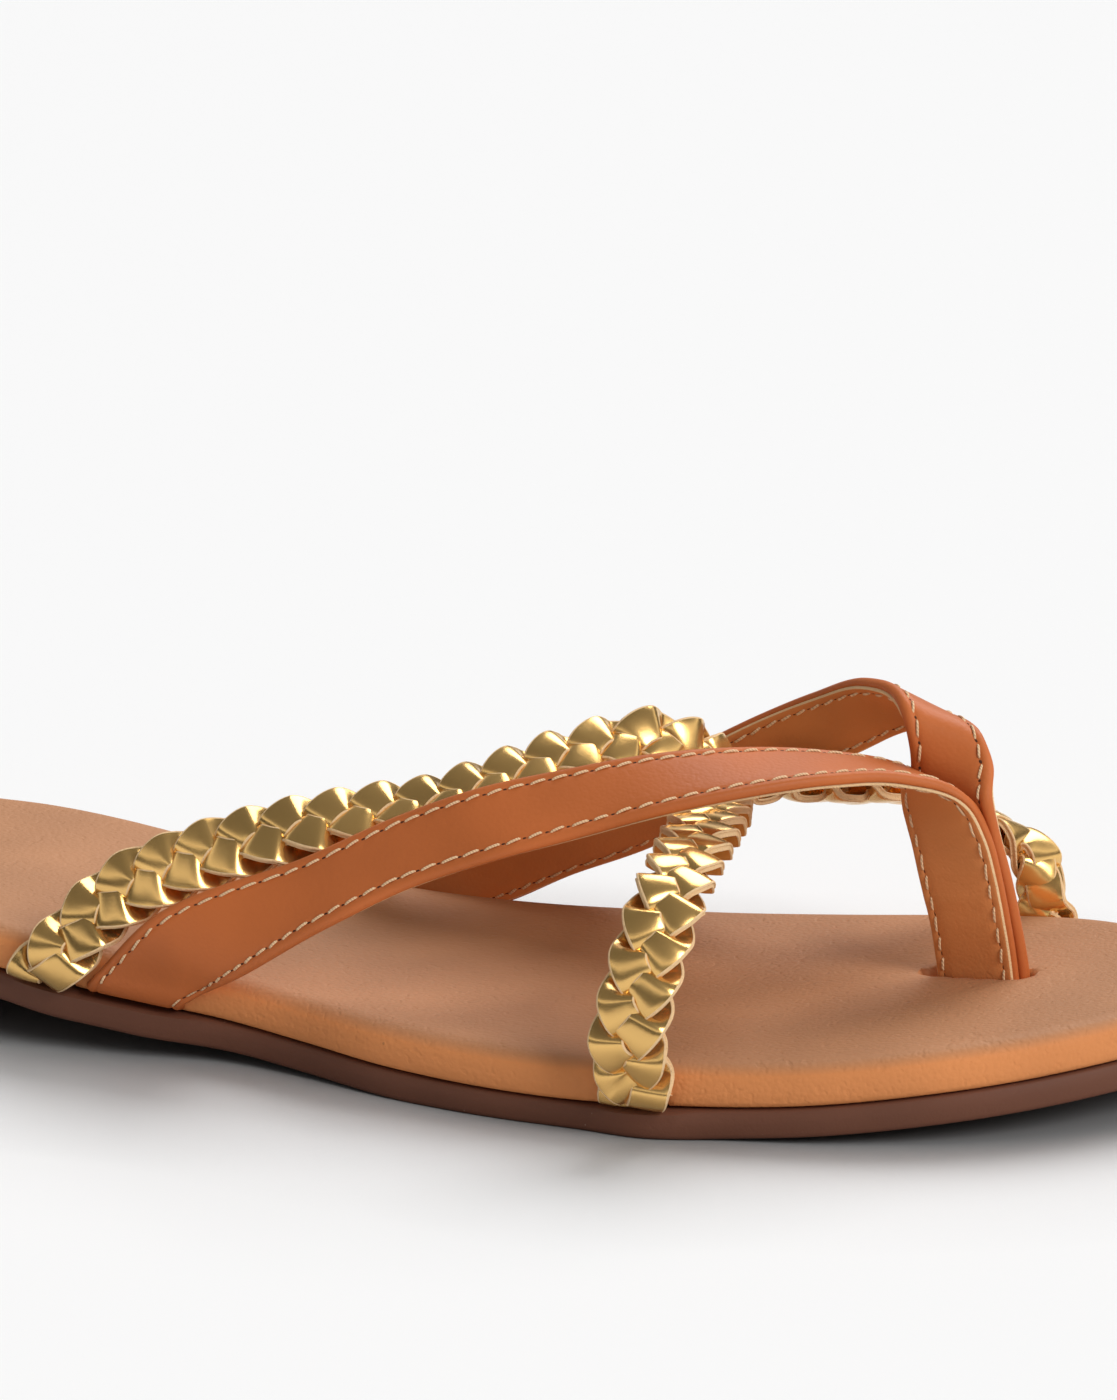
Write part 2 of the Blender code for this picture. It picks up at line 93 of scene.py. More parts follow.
# The toe post, where both tan straps go down face to face. Edges as above, for the outer strap.
TOE_POST = (
    (0.819, 0.046, 0.787, 0.778, 0.150, 0.774),
    (0.833, 0.069, 0.738, 0.780, 0.146, 0.687),
    (0.842, 0.081, 0.651, 0.786, 0.131, 0.609),
    (0.849, 0.084, 0.535, 0.793, 0.117, 0.497),
    (0.854, 0.086, 0.416, 0.799, 0.117, 0.387),
    (0.858, 0.089, 0.292, 0.803, 0.120, 0.266),
    (0.861, 0.090, 0.155, 0.806, 0.121, 0.150),
)
LONG_BRAID = (
    (0.334, -0.374, 0.385, 0.306, -0.330, 0.520),
    (0.382, -0.359, 0.500, 0.361, -0.300, 0.640),
    (0.432, -0.359, 0.589, 0.415, -0.264, 0.712),
    (0.483, -0.321, 0.649, 0.467, -0.214, 0.755),
    (0.531, -0.266, 0.693, 0.509, -0.162, 0.779),
    (0.574, -0.180, 0.751, 0.545, -0.092, 0.836),
    (0.614, -0.069, 0.792, 0.585, 0.006, 0.890),
    (0.632, 0.008, 0.771, 0.621, 0.084, 0.924),
    (0.650, 0.079, 0.714, 0.648, 0.150, 0.868),
    (0.672, 0.135, 0.680, 0.654, 0.230, 0.768),
    (0.694, 0.205, 0.674, 0.667, 0.310, 0.666),
    (0.731, 0.302, 0.655, 0.704, 0.400, 0.597),
    (0.766, 0.385, 0.627, 0.743, 0.494, 0.568),
    (0.796, 0.448, 0.530, 0.788, 0.556, 0.468),
    (0.815, 0.490, 0.388, 0.836, 0.558, 0.378),
)
SHORT_BRAID = (
    (0.707, -0.560, 0.295, 0.662, -0.567, 0.295),
    (0.712, -0.544, 0.411, 0.668, -0.559, 0.429),
    (0.716, -0.504, 0.520, 0.673, -0.524, 0.556),
    (0.718, -0.430, 0.615, 0.676, -0.460, 0.665),
    (0.714, -0.318, 0.663, 0.673, -0.350, 0.703),
    (0.708, -0.181, 0.685, 0.665, -0.219, 0.710),
    (0.700, -0.050, 0.685, 0.656, -0.080, 0.703),
    (0.686, 0.092, 0.665, 0.645, 0.037, 0.687),
    (0.656, 0.216, 0.640, 0.623, 0.129, 0.673),
    (0.615, 0.303, 0.585, 0.590, 0.199, 0.655),
    (0.566, 0.350, 0.510, 0.544, 0.245, 0.610),
    (0.513, 0.343, 0.455, 0.492, 0.243, 0.564),
    (0.459, 0.328, 0.409, 0.433, 0.241, 0.513),
    (0.408, 0.333, 0.345, 0.380, 0.268, 0.450),
    (0.368, 0.352, 0.305, 0.330, 0.328, 0.385),
)
# Where each strap meets the sole. Columns: front edge and rear edge as along / length.
OUTER_STRAP_END = (0.367, 0.303)
INNER_STRAP_END = (0.437, 0.376)
LONG_BRAID_START = (0.295, 0.252)
LONG_BRAID_FINISH = (0.814, 0.857)
SHORT_BRAID_START = (0.706, 0.661)
SHORT_BRAID_FINISH = (0.345, 0.299)
# From the sole's own middle to the middle of the whole sandal, across.
ACROSS_SHIFT = 0.00118
PIECE_GAP = 0.0003
HEEL_SLOPE_RUN = 0.005
# How the strap ends come out of the sole: clear of its side, straight up first, then leaning to the free part.
STRAP_STAND_OFF = 0.0019
BRAID_STAND_OFF = 0.0022
TUCK_RISE = 0.0036
TUCK_RISE_SHARE = 0.6
TUCK_LEAN = 0.9
# How the inner strap shows past the outer one at the toe post, and flares at the fold.
POST_STEP = 0.0008
FOLD_FLARE = 0.0014
# The stitch rows: shorter stitches near the foot, the thread's share of a stitch, and the needle holes.
FOOT_STITCH_SHARE = 0.74
STITCH_GROW_RUN = 0.045
THREAD_SHARE = 0.76
HOLE_SHARE = 0.89
HOLE_HALF_WIDTH = 0.00027
SEAM_HEIGHT = 0.00094

# Folded leather of a tan strap, seen as a section. Columns: in from the edge and out from the middle, in mm.
LEATHER_SECTION = (
    (3.60, 1.12), (2.50, 1.10), (2.10, 1.06), (1.90, 0.98), (1.75, 0.94), (1.60, 0.99), (1.40, 1.09),
    (1.10, 1.15), (0.75, 1.12), (0.42, 0.98), (0.18, 0.72), (0.04, 0.38), (0.00, 0.05), (0.08, -0.25),
    (0.26, -0.42), (0.60, -0.50), (2.50, -0.50),
)
# The lining under it, the same way.
LINING_SECTION = (
    (3.60, -0.46), (0.62, -0.46), (0.50, -0.52), (0.46, -0.72), (0.50, -0.94), (0.62, -1.03),
    (0.90, -1.08), (1.45, -1.08), (1.65, -1.00), (1.75, -0.94), (1.85, -1.00), (2.05, -1.08), (3.60, -1.11),
)
CUT_EDGE_SPAN = (0.47, 0.60)
# Section of one plaited strip: two layers with raw edges and a groove between.
# Columns: across -1 to 1, out as a share of half its thickness.
STRIP_SECTION = (
    (-0.90, 0.95), (-0.60, 1.0), (-0.20, 1.02), (0.20, 1.02), (0.60, 1.0), (0.90, 0.95),
    (0.975, 0.86), (1.0, 0.66), (0.985, 0.46), (0.93, 0.34), (0.93, -0.34), (0.985, -0.46), (1.0, -0.66),
    (0.975, -0.86), (0.90, -0.95), (0.60, -1.0), (0.20, -1.02), (-0.20, -1.02), (-0.60, -1.0), (-0.90, -0.95),
    (-0.975, -0.86), (-1.0, -0.66), (-0.985, -0.46), (-0.93, -0.34), (-0.93, 0.34), (-0.985, 0.46),
    (-1.0, 0.66), (-0.975, 0.86),
)
# Faces of that section further out than this show the pale raw edge.
STRIP_CUT_FROM = 0.89
# Soft creases across the tan straps. Columns: distance from the strap's foot as a share of its run,
# lean, width in mm, depth in mm, middle across from -1 to 1 and reach across.
OUTER_CREASES = (
    (0.905, 0.3, 0.9, 0.16, 0.1, 0.9),
    (0.925, -0.2, 0.7, 0.12, -0.2, 0.7),
    (0.970, 0.1, 0.8, 0.10, 0.0, 0.8),
    (0.845, 0.5, 1.5, 0.14, 0.2, 0.8),
)
INNER_CREASES = (
    (0.765, 0.4, 2.0, 0.18, -0.3, 0.8),
    (0.800, -0.3, 1.6, 0.12, 0.4, 0.7),
)

# The photograph's view: direction to the camera, distance, lens and the point at the picture's middle.
PHOTO_AZIMUTH = 21.7
PHOTO_ELEVATION = 15.85
PHOTO_ROLL = -1.3
PHOTO_DISTANCE = 1.006
PHOTO_LENS = 170.8
PHOTO_TARGET = (0.01757, ACROSS_SHIFT, 0.05327)


class SoleSizes(bpy.types.PropertyGroup):
    """Sizes of the sole and its cover."""

    length: FloatProperty(name="Length", description="Heel to toe", default=0.245, unit="LENGTH", precision=4)
    ball_width: FloatProperty(
        name="Ball width", description="Across the widest part", default=0.0805, unit="LENGTH", precision=4
    )
    crest_height: FloatProperty(
        name="Crest height", description="Floor to the top of the straps", default=0.055, unit="LENGTH", precision=4
    )
    footbed_thick: FloatProperty(
        name="Footbed", description="Thickness of the padded footbed", default=0.0068, unit="LENGTH", precision=4
    )
    outsole_thick: FloatProperty(
        name="Outsole", description="Thickness of the rubber sole", default=0.0045, unit="LENGTH", precision=4
    )
    heel_end: FloatProperty(
        name="Heel end", description="Length of the low moulded heel", default=0.040, unit="LENGTH", precision=4
    )
    edge_round: FloatProperty(
        name="Edge round", description="Height of the footbed's rounded edge", default=0.0042,
        unit="LENGTH", precision=4,
    )


class StrapSizes(bpy.types.PropertyGroup):
    """Sizes of the tan straps and their stitches."""

    thick: FloatProperty(
        name="Thickness", description="Folded leather with its lining", default=0.0023, unit="LENGTH", precision=5
    )
    tuck: FloatProperty(
        name="Tuck", description="How far a strap goes in under the footbed", default=0.009,
        unit="LENGTH", precision=4,
    )
    stitch: FloatProperty(
        name="Stitch", description="Length from one needle hole to the next", default=0.0033,
        unit="LENGTH", precision=5,
    )
    stitch_inset: FloatProperty(
        name="Stitch inset", description="Stitch row to the strap's edge", default=0.00175,
        unit="LENGTH", precision=5,
    )
    thread: FloatProperty(
        name="Thread", description="Width of the thread", default=0.00043, unit="LENGTH", precision=5
    )


class BraidSizes(bpy.types.PropertyGroup):
    """Sizes of the plaited straps."""

    thick: FloatProperty(name="Thickness", description="Of the plait", default=0.0048, unit="LENGTH", precision=5)
    end_thick: FloatProperty(
        name="End thickness", description="Of the flattened ends", default=0.0023, unit="LENGTH", precision=5
    )
    long_pitch: FloatProperty(
        name="Long pitch", description="From one strip to the next along an edge of the long braid",
        default=0.0070, unit="LENGTH", precision=5,
    )
    short_pitch: FloatProperty(
        name="Short pitch", description="The same along an edge of the short braid", default=0.0060,
        unit="LENGTH", precision=5,
    )
    strip_width: FloatProperty(
        name="Strip width", description="Width of one plaited strip", default=0.0058, unit="LENGTH", precision=5
    )
    strip_thick: FloatProperty(
        name="Strip thickness", description="Two layers of foil leather", default=0.0012,
        unit="LENGTH", precision=5,
    )
    crown: FloatProperty(
        name="Crown", description="How far a strip's sides fall below its middle", default=0.00022,
        unit="LENGTH", precision=5,
    )
    overhang: FloatProperty(
        name="Overhang", description="How far strips reach past the plait's nominal edge", default=0.0003,
        unit="LENGTH", precision=5,
    )
    lean: FloatProperty(
        name="Lean", description="Turn of a strip towards the plait's edge", default=0.10, unit="ROTATION"
    )
    shingle: FloatProperty(
        name="Shingle", description="How far a strip's first edge stands up over the strip before it",
        default=0.15, unit="ROTATION",
    )


class Finishes(bpy.types.PropertyGroup):
    """Colours of the sandal's materials."""

    tan: FloatVectorProperty(
        name="Tan leather", description="Strap leather", default=(0.52, 0.138, 0.036), subtype="COLOR"
    )
    lining: FloatVectorProperty(
        name="Lining", description="Lining of the tan straps", default=(0.68, 0.25, 0.082), subtype="COLOR"
    )
    cut_edge: FloatVectorProperty(
        name="Cut edge", description="Raw edge of lining and strips", default=(0.90, 0.62, 0.34), subtype="COLOR"
    )
    thread: FloatVectorProperty(
        name="Thread", description="Cream sewing thread", default=(0.88, 0.60, 0.35), subtype="COLOR"
    )
    gold: FloatVectorProperty(
        name="Gold foil", description="Foil leather of the plaits", default=(0.86, 0.53, 0.18), subtype="COLOR"
    )
    footbed: FloatVectorProperty(
        name="Footbed", description="Camel cover of the footbed", default=(0.50, 0.240, 0.117), subtype="COLOR"
    )
    # Painted light: the footbed's turned-down side gets this brighter, warmer colour for the light that the side
    # catches.
    footbed_side_painted_light: FloatVectorProperty(
        name="Footbed side", description="The cover where it turns down", default=(0.74, 0.28, 0.095),
        subtype="COLOR",
    )
    outsole: FloatVectorProperty(
        name="Outsole", description="Brown rubber", default=(0.150, 0.056, 0.031), subtype="COLOR"
    )


class StageSettings(bpy.types.PropertyGroup):
    """Light and floor."""

    sky: FloatProperty(name="Sky", description="Strength of the even light", default=0.30, min=0.0)
    mirrored: FloatProperty(
        name="Mirrored studio", description="Brightness of the studio that the foil mirrors", default=1.0, min=0.0
    )
    top: FloatProperty(name="Top light", description="Soft light from above and behind", default=1.95, min=0.0)
    key: FloatProperty(name="Toe light", description="Soft light from the toe side", default=1.75, min=0.0)
    floor: FloatVectorProperty(
        name="Floor", description="Colour of the floor", default=(0.90, 0.90, 0.90), subtype="COLOR"
    )


def unit(v):
    return v / np.linalg.norm(v, axis=-1, keepdims=True)


def spline(rows, per_span, closed=False):
    """Smooth curve through the rows, by chord length."""
    rows = np.asarray(rows, float)
    if closed:
        rows = np.vstack((rows[-1], rows, rows[0], rows[1]))
    span = np.linalg.norm(np.diff(rows, axis=0), axis=1)[:, None]
    slope = np.diff(rows, axis=0) / span
    tangent = np.empty_like(rows)
    tangent[1:-1] = (slope[:-1] * span[1:] + slope[1:] * span[:-1]) / (span[1:] + span[:-1])
    tangent[0] = slope[0]
    tangent[-1] = slope[-1]
    t = np.linspace(0.0, 1.0, per_span, endpoint=False)[:, None]
    out = []
    first, last = (1, len(rows) - 2) if closed else (0, len(rows) - 1)
    for i in range(first, last):
        h = span[i]
        out.append(
            (2 * t**3 - 3 * t**2 + 1) * rows[i]
            + (t**3 - 2 * t**2 + t) * h * tangent[i]
            + (3 * t**2 - 2 * t**3) * rows[i + 1]
            + (t**3 - t**2) * h * tangent[i + 1]
        )
    if not closed:
        out.append(rows[-1:])
    return np.concatenate(out)


class Last:
    """The plan outline and the height of the footbed, in sizes measured from the heel."""

    def __init__(self, sole, strap):
        self.sole = sole
        self.strap = strap
        self.sizes = np.array((sole.length, sole.ball_width, sole.crest_height))
        loop = spline(np.array(OUTLINE) * self.sizes[:2], 12, closed=True)
        loop = np.roll(loop, -int(np.argmin(loop[:, 0])), axis=0)
        toe = int(np.argmax(loop[:, 0]))
        self.outer = loop[: toe + 1]
        self.inner = np.vstack((loop[toe:], loop[:1]))[::-1]
        self.top = spline(np.array(TOP_LINE) * self.sizes[[0, 2]], 12)

    def side(self, x, inner):
        rows = self.inner if inner else self.outer
        return np.interp(x, rows[:, 0], rows[:, 1])

    def top_z(self, x):
        return np.interp(x, self.top[:, 0], self.top[:, 1])

    def joint_z(self, x):
        return self.top_z(x) - self.sole.footbed_thick

    def under_z(self, x):
        """Underside: a low moulded heel, a raised waist, a flat ball and a toe spring."""
        raised = np.maximum(0.0, self.joint_z(x) - PIECE_GAP - self.sole.outsole_thick)
        return raised * np.clip((x - self.sole.heel_end) / HEEL_SLOPE_RUN, 0.0, 1.0)

    def table(self, rows):
        return np.array(rows) * np.tile(self.sizes, 2)

    def tuck(self, ends, inner, stand_off, wall, first):
        """Rows for a strap's end: under the footbed, round its lower corner and out at its side.

        Outside, both edges lean towards the strap's first free row.
        """
        sign = 1.0 if inner else -1.0
        lift = PIECE_GAP + wall / 2
        depth = self.strap.tuck
        # Columns: inwards from the side, up as a share of the rise, back along the sole
        steps = (
            (depth, 0.0, 0.35 * depth),
            (0.32 * depth, 0.0, 0.12 * depth),
            (0.03 * depth, 0.0, 0.04 * depth),
            (-0.58 * stand_off, 0.15, 0.01 * depth),
            (-0.92 * stand_off, 0.5, 0.0),
            (-stand_off, 1.0, 0.0),
        )
        rows = []
        for inwards, up, back in steps:
            row = []
            for share, free in zip(ends, (first[:3], first[3:])):
                root = share * self.sole.length
                free_rise = free[2] - self.joint_z(root) - lift
                rise = min(TUCK_RISE, TUCK_RISE_SHARE * free_rise)
                lean = TUCK_LEAN * (free[0] - root) / free_rise
                x = root - back + lean * rise * max(0.0, up - steps[3][1])
                row += [x, self.side(x, inner) - sign * inwards, self.joint_z(x) + lift + up * rise]
            rows.append(row)
        return np.array(rows)

    def to_world(self, points):
        return points + np.array((-self.sole.length / 2, ACROSS_SHIFT, 0.0))


def facing(rows, offset):
    """The same rows moved along the wall's outward normal."""
    centre = (rows[:, :3] + rows[:, 3:]) / 2
    across = unit(rows[:, 3:] - rows[:, :3])
    normal = unit(np.cross(np.gradient(centre, axis=0), across))
    return rows + offset * np.hstack((normal, normal))


class Band:
    """A strap's middle surface, read at any distance along it."""

    def __init__(self, rows, outward, step=0.0009):
        fine = spline(rows, 24)
        centre = (fine[:, :3] + fine[:, 3:]) / 2
        run = np.r_[0.0, np.cumsum(np.linalg.norm(np.diff(centre, axis=0), axis=1))]
        self.at = np.linspace(0.0, run[-1], max(4, round(run[-1] / step)) + 1)
        even = np.column_stack([np.interp(self.at, run, fine[:, i]) for i in range(6)])
        self.middle = (even[:, :3] + even[:, 3:]) / 2
        half = (even[:, 3:] - even[:, :3]) / 2
        self.half = np.linalg.norm(half, axis=1)
        self.across = half / self.half[:, None]
        along = unit(np.gradient(self.middle, axis=0))
        self.normal = unit(np.cross(along, self.across)) * outward
        self.length = float(self.at[-1])

    def read(self, s):
        """Middle, across, normal and half width at the distances."""
        parts = []
        for rows in (self.middle, self.across, self.normal):
            parts.append(np.column_stack([np.interp(s, self.at, rows[:, i]) for i in range(3)]))
        return parts[0], unit(parts[1]), unit(parts[2]), np.interp(s, self.at, self.half)


def creased(at, length, u, creases):
    """How far the listed creases push the surface in."""
    depth = np.zeros((len(at), u.shape[1]))
    for share, lean, width, deep, middle, reach in creases:
        line = share * length + lean * 0.001 * u
        window = np.exp(-(((u - middle) / reach) ** 4))
        depth += deep * 0.001 * window * np.exp(-(((at[:, None] - line) / (width * 0.001)) ** 2))
    return depth


def piece(name, points, faces, materials, which=None, smooth_angle=50.0):
    """A mesh piece that rides on the sandal. which gives each face's material."""
    mesh = bpy.data.meshes.new(name)
    mesh.from_pydata([tuple(p) for p in points], [], faces)
    for material in materials:
        mesh.materials.append(material)
    if which is not None:
        mesh.polygons.foreach_set("material_index", np.asarray(which, np.int32))
    work = bmesh.new()
    work.from_mesh(mesh)
    bmesh.ops.recalc_face_normals(work, faces=work.faces)
    work.to_mesh(mesh)
    work.free()
    mesh.shade_smooth()
    mesh.set_sharp_from_angle(angle=math.radians(smooth_angle))
    obj = bpy.data.objects.new(name, mesh)
    bpy.context.scene.collection.objects.link(obj)
    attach(obj, "root")
    return obj


def skin(rings, start=0):
    """Faces of a closed tube over rings of equal count, with its ends capped."""
    count = rings.shape[1]
    j = np.arange(count)
    k = (j + 1) % count
    faces = []
    for i in range(len(rings) - 1):
        a, b = start + i * count, start + (i + 1) * count
        faces += np.column_stack((a + j, a + k, b + k, b + j)).tolist()
    faces.append((start + j[::-1]).tolist())
    faces.append((start + (len(rings) - 1) * count + j).tolist())
    return faces


def mirrored(section):
    """A full ring from one half of a section: side, inset and height of each point."""
    half = np.array(section) * 0.001
    left = np.column_stack((-np.ones(len(half)), half))
    right = np.column_stack((np.ones(len(half)), half))[::-1]
    return np.vstack((left, right))


def wall_rings(band, section, creases=()):
    ring = mirrored(section)
    u = ring[None, :, 0] * (1.0 - ring[None, :, 1] / band.half[:, None])
    out = ring[None, :, 2] - creased(band.at, band.length, u, creases)
    reach = (u * band.half[:, None])[..., None]
    return band.middle[:, None] + band.across[:, None] * reach + band.normal[:, None] * out[..., None]


def stitch_places(strap, start, stop):
    """Where each stitch begins and how long it is: shorter near the strap's foot, as sewn by hand."""
    place = start
    while place < stop:
        length = strap.stitch * (FOOT_STITCH_SHARE + 0.26 * min(1.0, place / STITCH_GROW_RUN))
        yield place, length
        place += length


def stitches(band, strap, start, stop, side, height, facing_out, rng):
    """Rings of each stitch in one row, a little slanted, with its ends drawn into the needle holes."""
    radius = strap.thread / 2
    turn = np.linspace(0, 2 * math.pi, 7)[:-1]
    shares = np.array((0.0, 0.12, 0.35, 0.65, 0.88, 1.0))
    sizes = np.array((0.5, 0.95, 1.0, 1.0, 0.95, 0.5))
    lifts = np.array((-0.9, 0.1, 0.5, 0.5, 0.1, -0.9)) * radius
    out = []
    for place, length in stitch_places(strap, start, stop):
        reach = length * (THREAD_SHARE + 0.05 * rng.standard_normal())
        s = place + shares * reach
        lean = (shares - 0.5) * (0.00034 + 0.00008 * rng.standard_normal()) + 0.00004 * rng.standard_normal()
        middle, across, normal, half = band.read(s)
        normal = normal * facing_out
        centre = middle + across * (side * (half - strap.stitch_inset) + lean)[:, None]
        centre = centre + normal * (height + lifts)[:, None]
        ring = centre[:, None] + (
            across[:, None] * np.cos(turn)[None, :, None] + normal[:, None] * np.sin(turn)[None, :, None]
        ) * (radius * sizes)[:, None, None]
        out.append(ring)
    return out


def needle_holes(band, strap, start, stop, side, height, facing_out, rng):
    """A small dent between stitches, as a flat bead sunk in the leather; its near-black colour is painted shade for
    the inside of the hole.
    """
    turn = np.linspace(0, 2 * math.pi, 9)[:-1]
    out = []
    for place, length in stitch_places(strap, start, stop):
        s = place + (HOLE_SHARE + 0.02 * rng.standard_normal()) * length
        middle, across, normal, half = band.read(np.array((s, s + 0.0001)))
        along = unit(middle[1:] - middle[:1])[0]
        centre = middle[0] + across[0] * side * (half[0] - strap.stitch_inset)
        centre = centre + normal[0] * facing_out * height
        rings = []
        for size, lift in ((0.35, -0.00022), (1.0, -0.00005), (0.8, 0.00004), (0.25, 0.00006)):
            wide = size * HOLE_HALF_WIDTH
            offset = across[0] * np.cos(turn)[:, None] * wide + along * np.sin(turn)[:, None] * wide * 1.3
            rings.append(centre + offset + normal[0] * facing_out * lift)
        out.append(np.array(rings))
    return out


def joined(parts):
    """Points and faces of many small tubes as one mesh."""
    points, faces, start = [], [], 0
    for rings in parts:
        points.append(rings.reshape(-1, 3))
        faces += skin(rings, start)
        start += rings.shape[0] * rings.shape[1]
    return np.concatenate(points), faces


def strand(band, braid, pitch, tuck, phase):
    """Rings of one plaited strip: over while it heads for an edge, under on its way back."""
    period = 3 * pitch
    s = np.linspace(0.0, band.length, int(band.length / period * 60))
    middle, across, normal, half = band.read(s)
    raised = np.clip((np.minimum(s, band.length - s) - 0.8 * tuck) / 0.006, 0.0, 1.0)
    raised = raised * raised * (3 - 2 * raised)
    size = (braid.end_thick + (braid.thick - braid.end_thick) * raised) / braid.thick
    t = 2 * math.pi * s / period + phase
    thick = braid.strip_thick * size
    wide_half = braid.strip_width / 2 * (0.86 + 0.14 * raised)
    over = np.sin(2 * t)
    over = over / np.sqrt(0.15 + 0.85 * over**2)
    sway = (half + braid.overhang - wide_half) * np.sin(t)
    rise = (braid.thick * size - thick) / 2 * over
    centre = middle + across * sway[:, None] + normal * rise[:, None]
    along = unit(np.gradient(centre, axis=0))
    roll = braid.lean * np.sin(t) * np.clip(over, 0.0, 1.0)
    ahead = unit(np.gradient(middle, axis=0))
    face = across * np.sin(roll)[:, None] + normal * np.cos(roll)[:, None]
    face = face + ahead * (braid.shingle * np.clip(over, 0.0, 1.0))[:, None]
    wide = unit(np.cross(along, face))
    face = unit(np.cross(wide, along))
    u, v = np.array(STRIP_SECTION).T
    reach = wide_half[:, None] * u[None, :]
    crown = (braid.crown * over * size)[:, None] * (np.abs(u[None, :]) ** 2.4 - 0.25)
    out = thick[:, None] / 2 * v[None, :] - crown
    return centre[:, None] + wide[:, None] * reach[..., None] + face[:, None] * out[..., None]


def soft_fall(distance, width):
    return np.exp(-((distance / width) ** 2))


# Shared shader groups


def new_group(name, inputs, outputs):
    """Node group with float inputs given by name and default, and outputs by name and type."""
    group = bpy.data.node_groups.new(name, "ShaderNodeTree")
    for label, kind, value in inputs:
        socket = group.interface.new_socket(name=label, in_out="INPUT", socket_type=kind)
        if value is not None:
            socket.default_value = value
    for label, kind in outputs:
        group.interface.new_socket(name=label, in_out="OUTPUT", socket_type=kind)
    start = group.nodes.new("NodeGroupInput")
    end = group.nodes.new("NodeGroupOutput")
    return group, start, end


def math_node(tree, operation, a, b=None, clamp=False):
    node = tree.nodes.new("ShaderNodeMath")
    node.operation = operation
    node.use_clamp = clamp
    for socket, value in zip(node.inputs, (a, b)):
        if value is None:
            continue
        if isinstance(value, (int, float)):
            socket.default_value = value
        else:
            tree.links.new(value, socket)
    return node.outputs[0]


def map_range(tree, value, low, high, to_low=0.0, to_high=1.0):
    node = tree.nodes.new("ShaderNodeMapRange")
    node.inputs["From Min"].default_value = low
    node.inputs["From Max"].default_value = high
    node.inputs["To Min"].default_value = to_low
    node.inputs["To Max"].default_value = to_high
    tree.links.new(value, node.inputs["Value"])
    return node.outputs["Result"]


def leather_grain_group():
    """Pebble grain with pores, and a slow colour drift."""
    group, start, end = new_group(
        "leather_grain",
        (("Scale", "NodeSocketFloat", 1600.0), ("Pores", "NodeSocketFloat", 0.5)),
        (("Height", "NodeSocketFloat"), ("Drift", "NodeSocketFloat")),
    )
    place = group.nodes.new("ShaderNodeTexCoord")
    cells = group.nodes.new("ShaderNodeTexVoronoi")
    fine = group.nodes.new("ShaderNodeTexNoise")
    slow = group.nodes.new("ShaderNodeTexNoise")
    fine.inputs["Detail"].default_value = 1.0
    slow.inputs["Scale"].default_value = 55.0
    slow.inputs["Detail"].default_value = 1.0
    for node in (cells, fine, slow):
        group.links.new(place.outputs["Object"], node.inputs["Vector"])
    group.links.new(start.outputs["Scale"], cells.inputs["Scale"])
    group.links.new(math_node(group, "MULTIPLY", start.outputs["Scale"], 0.5), fine.inputs["Scale"])
    pebble = math_node(group, "SUBTRACT", 1.0, cells.outputs["Distance"])
    pores = map_range(group, fine.outputs["Fac"], 0.30, 0.42)
    pores = math_node(group, "MULTIPLY", pores, start.outputs["Pores"])
    group.links.new(math_node(group, "ADD", pebble, pores), end.inputs["Height"])
    group.links.new(slow.outputs["Fac"], end.inputs["Drift"])
    return group


def fine_creases_group():
    """Small wrinkles that run across the object's length."""
    group, start, end = new_group(
        "fine_creases",
        (("Scale", "NodeSocketFloat", 90.0), ("Stretch", "NodeSocketVector", (1.0, 0.35, 0.35))),
        (("Height", "NodeSocketFloat"),),
    )
    place = group.nodes.new("ShaderNodeTexCoord")
    turned = group.nodes.new("ShaderNodeVectorMath")
    turned.operation = "MULTIPLY"
    noise = group.nodes.new("ShaderNodeTexNoise")
    noise.noise_type = "RIDGED_MULTIFRACTAL"
    noise.inputs["Detail"].default_value = 2.0
    group.links.new(place.outputs["Object"], turned.inputs[0])
    group.links.new(start.outputs["Stretch"], turned.inputs[1])
    group.links.new(turned.outputs[0], noise.inputs["Vector"])
    group.links.new(start.outputs["Scale"], noise.inputs["Scale"])
    group.links.new(noise.outputs["Fac"], end.inputs["Height"])
    return group


def specks_group():
    """Sparse dust specks as a mask."""
    group, start, end = new_group(
        "dust_specks",
        (("Scale", "NodeSocketFloat", 420.0), ("Size", "NodeSocketFloat", 0.10)),
        (("Mask", "NodeSocketFloat"),),
    )
    place = group.nodes.new("ShaderNodeTexCoord")
    cells = group.nodes.new("ShaderNodeTexVoronoi")
    pick = group.nodes.new("ShaderNodeSeparateColor")
    group.links.new(place.outputs["Object"], cells.inputs["Vector"])
    group.links.new(start.outputs["Scale"], cells.inputs["Scale"])
    group.links.new(cells.outputs["Color"], pick.inputs["Color"])
    small = math_node(group, "LESS_THAN", cells.outputs["Distance"], start.outputs["Size"])
    rare = math_node(group, "GREATER_THAN", pick.outputs["Red"], 0.93)
    group.links.new(math_node(group, "MULTIPLY", small, rare), end.inputs["Mask"])
    return group


def group_named(name, maker):
    return bpy.data.node_groups.get(name) or maker()


def use_group(tree, name, maker, **values):
    node = tree.nodes.new("ShaderNodeGroup")
    node.node_tree = group_named(name, maker)
    for label, value in values.items():
        node.inputs[label].default_value = value
    return node


def mixed(tree, amount, dark, light, blend="MIX"):
    node = tree.nodes.new("ShaderNodeMix")
    node.data_type = "RGBA"
    node.blend_type = blend
    for socket, value in zip((node.inputs[6], node.inputs[7]), (dark, light)):
        if isinstance(value, bpy.types.NodeSocket):
            tree.links.new(value, socket)
        else:
            socket.default_value = (*value, 1.0)
    if isinstance(amount, float):
        node.inputs[0].default_value = amount
    else:
        tree.links.new(amount, node.inputs[0])
    return node.outputs[2]


def new_material(name):
    material = bpy.data.materials.get(name)
    if material:
        return material, None, None
    material = bpy.data.materials.new(name)
    material.use_nodes = True
    return material, material.node_tree, material.node_tree.nodes["Principled BSDF"]


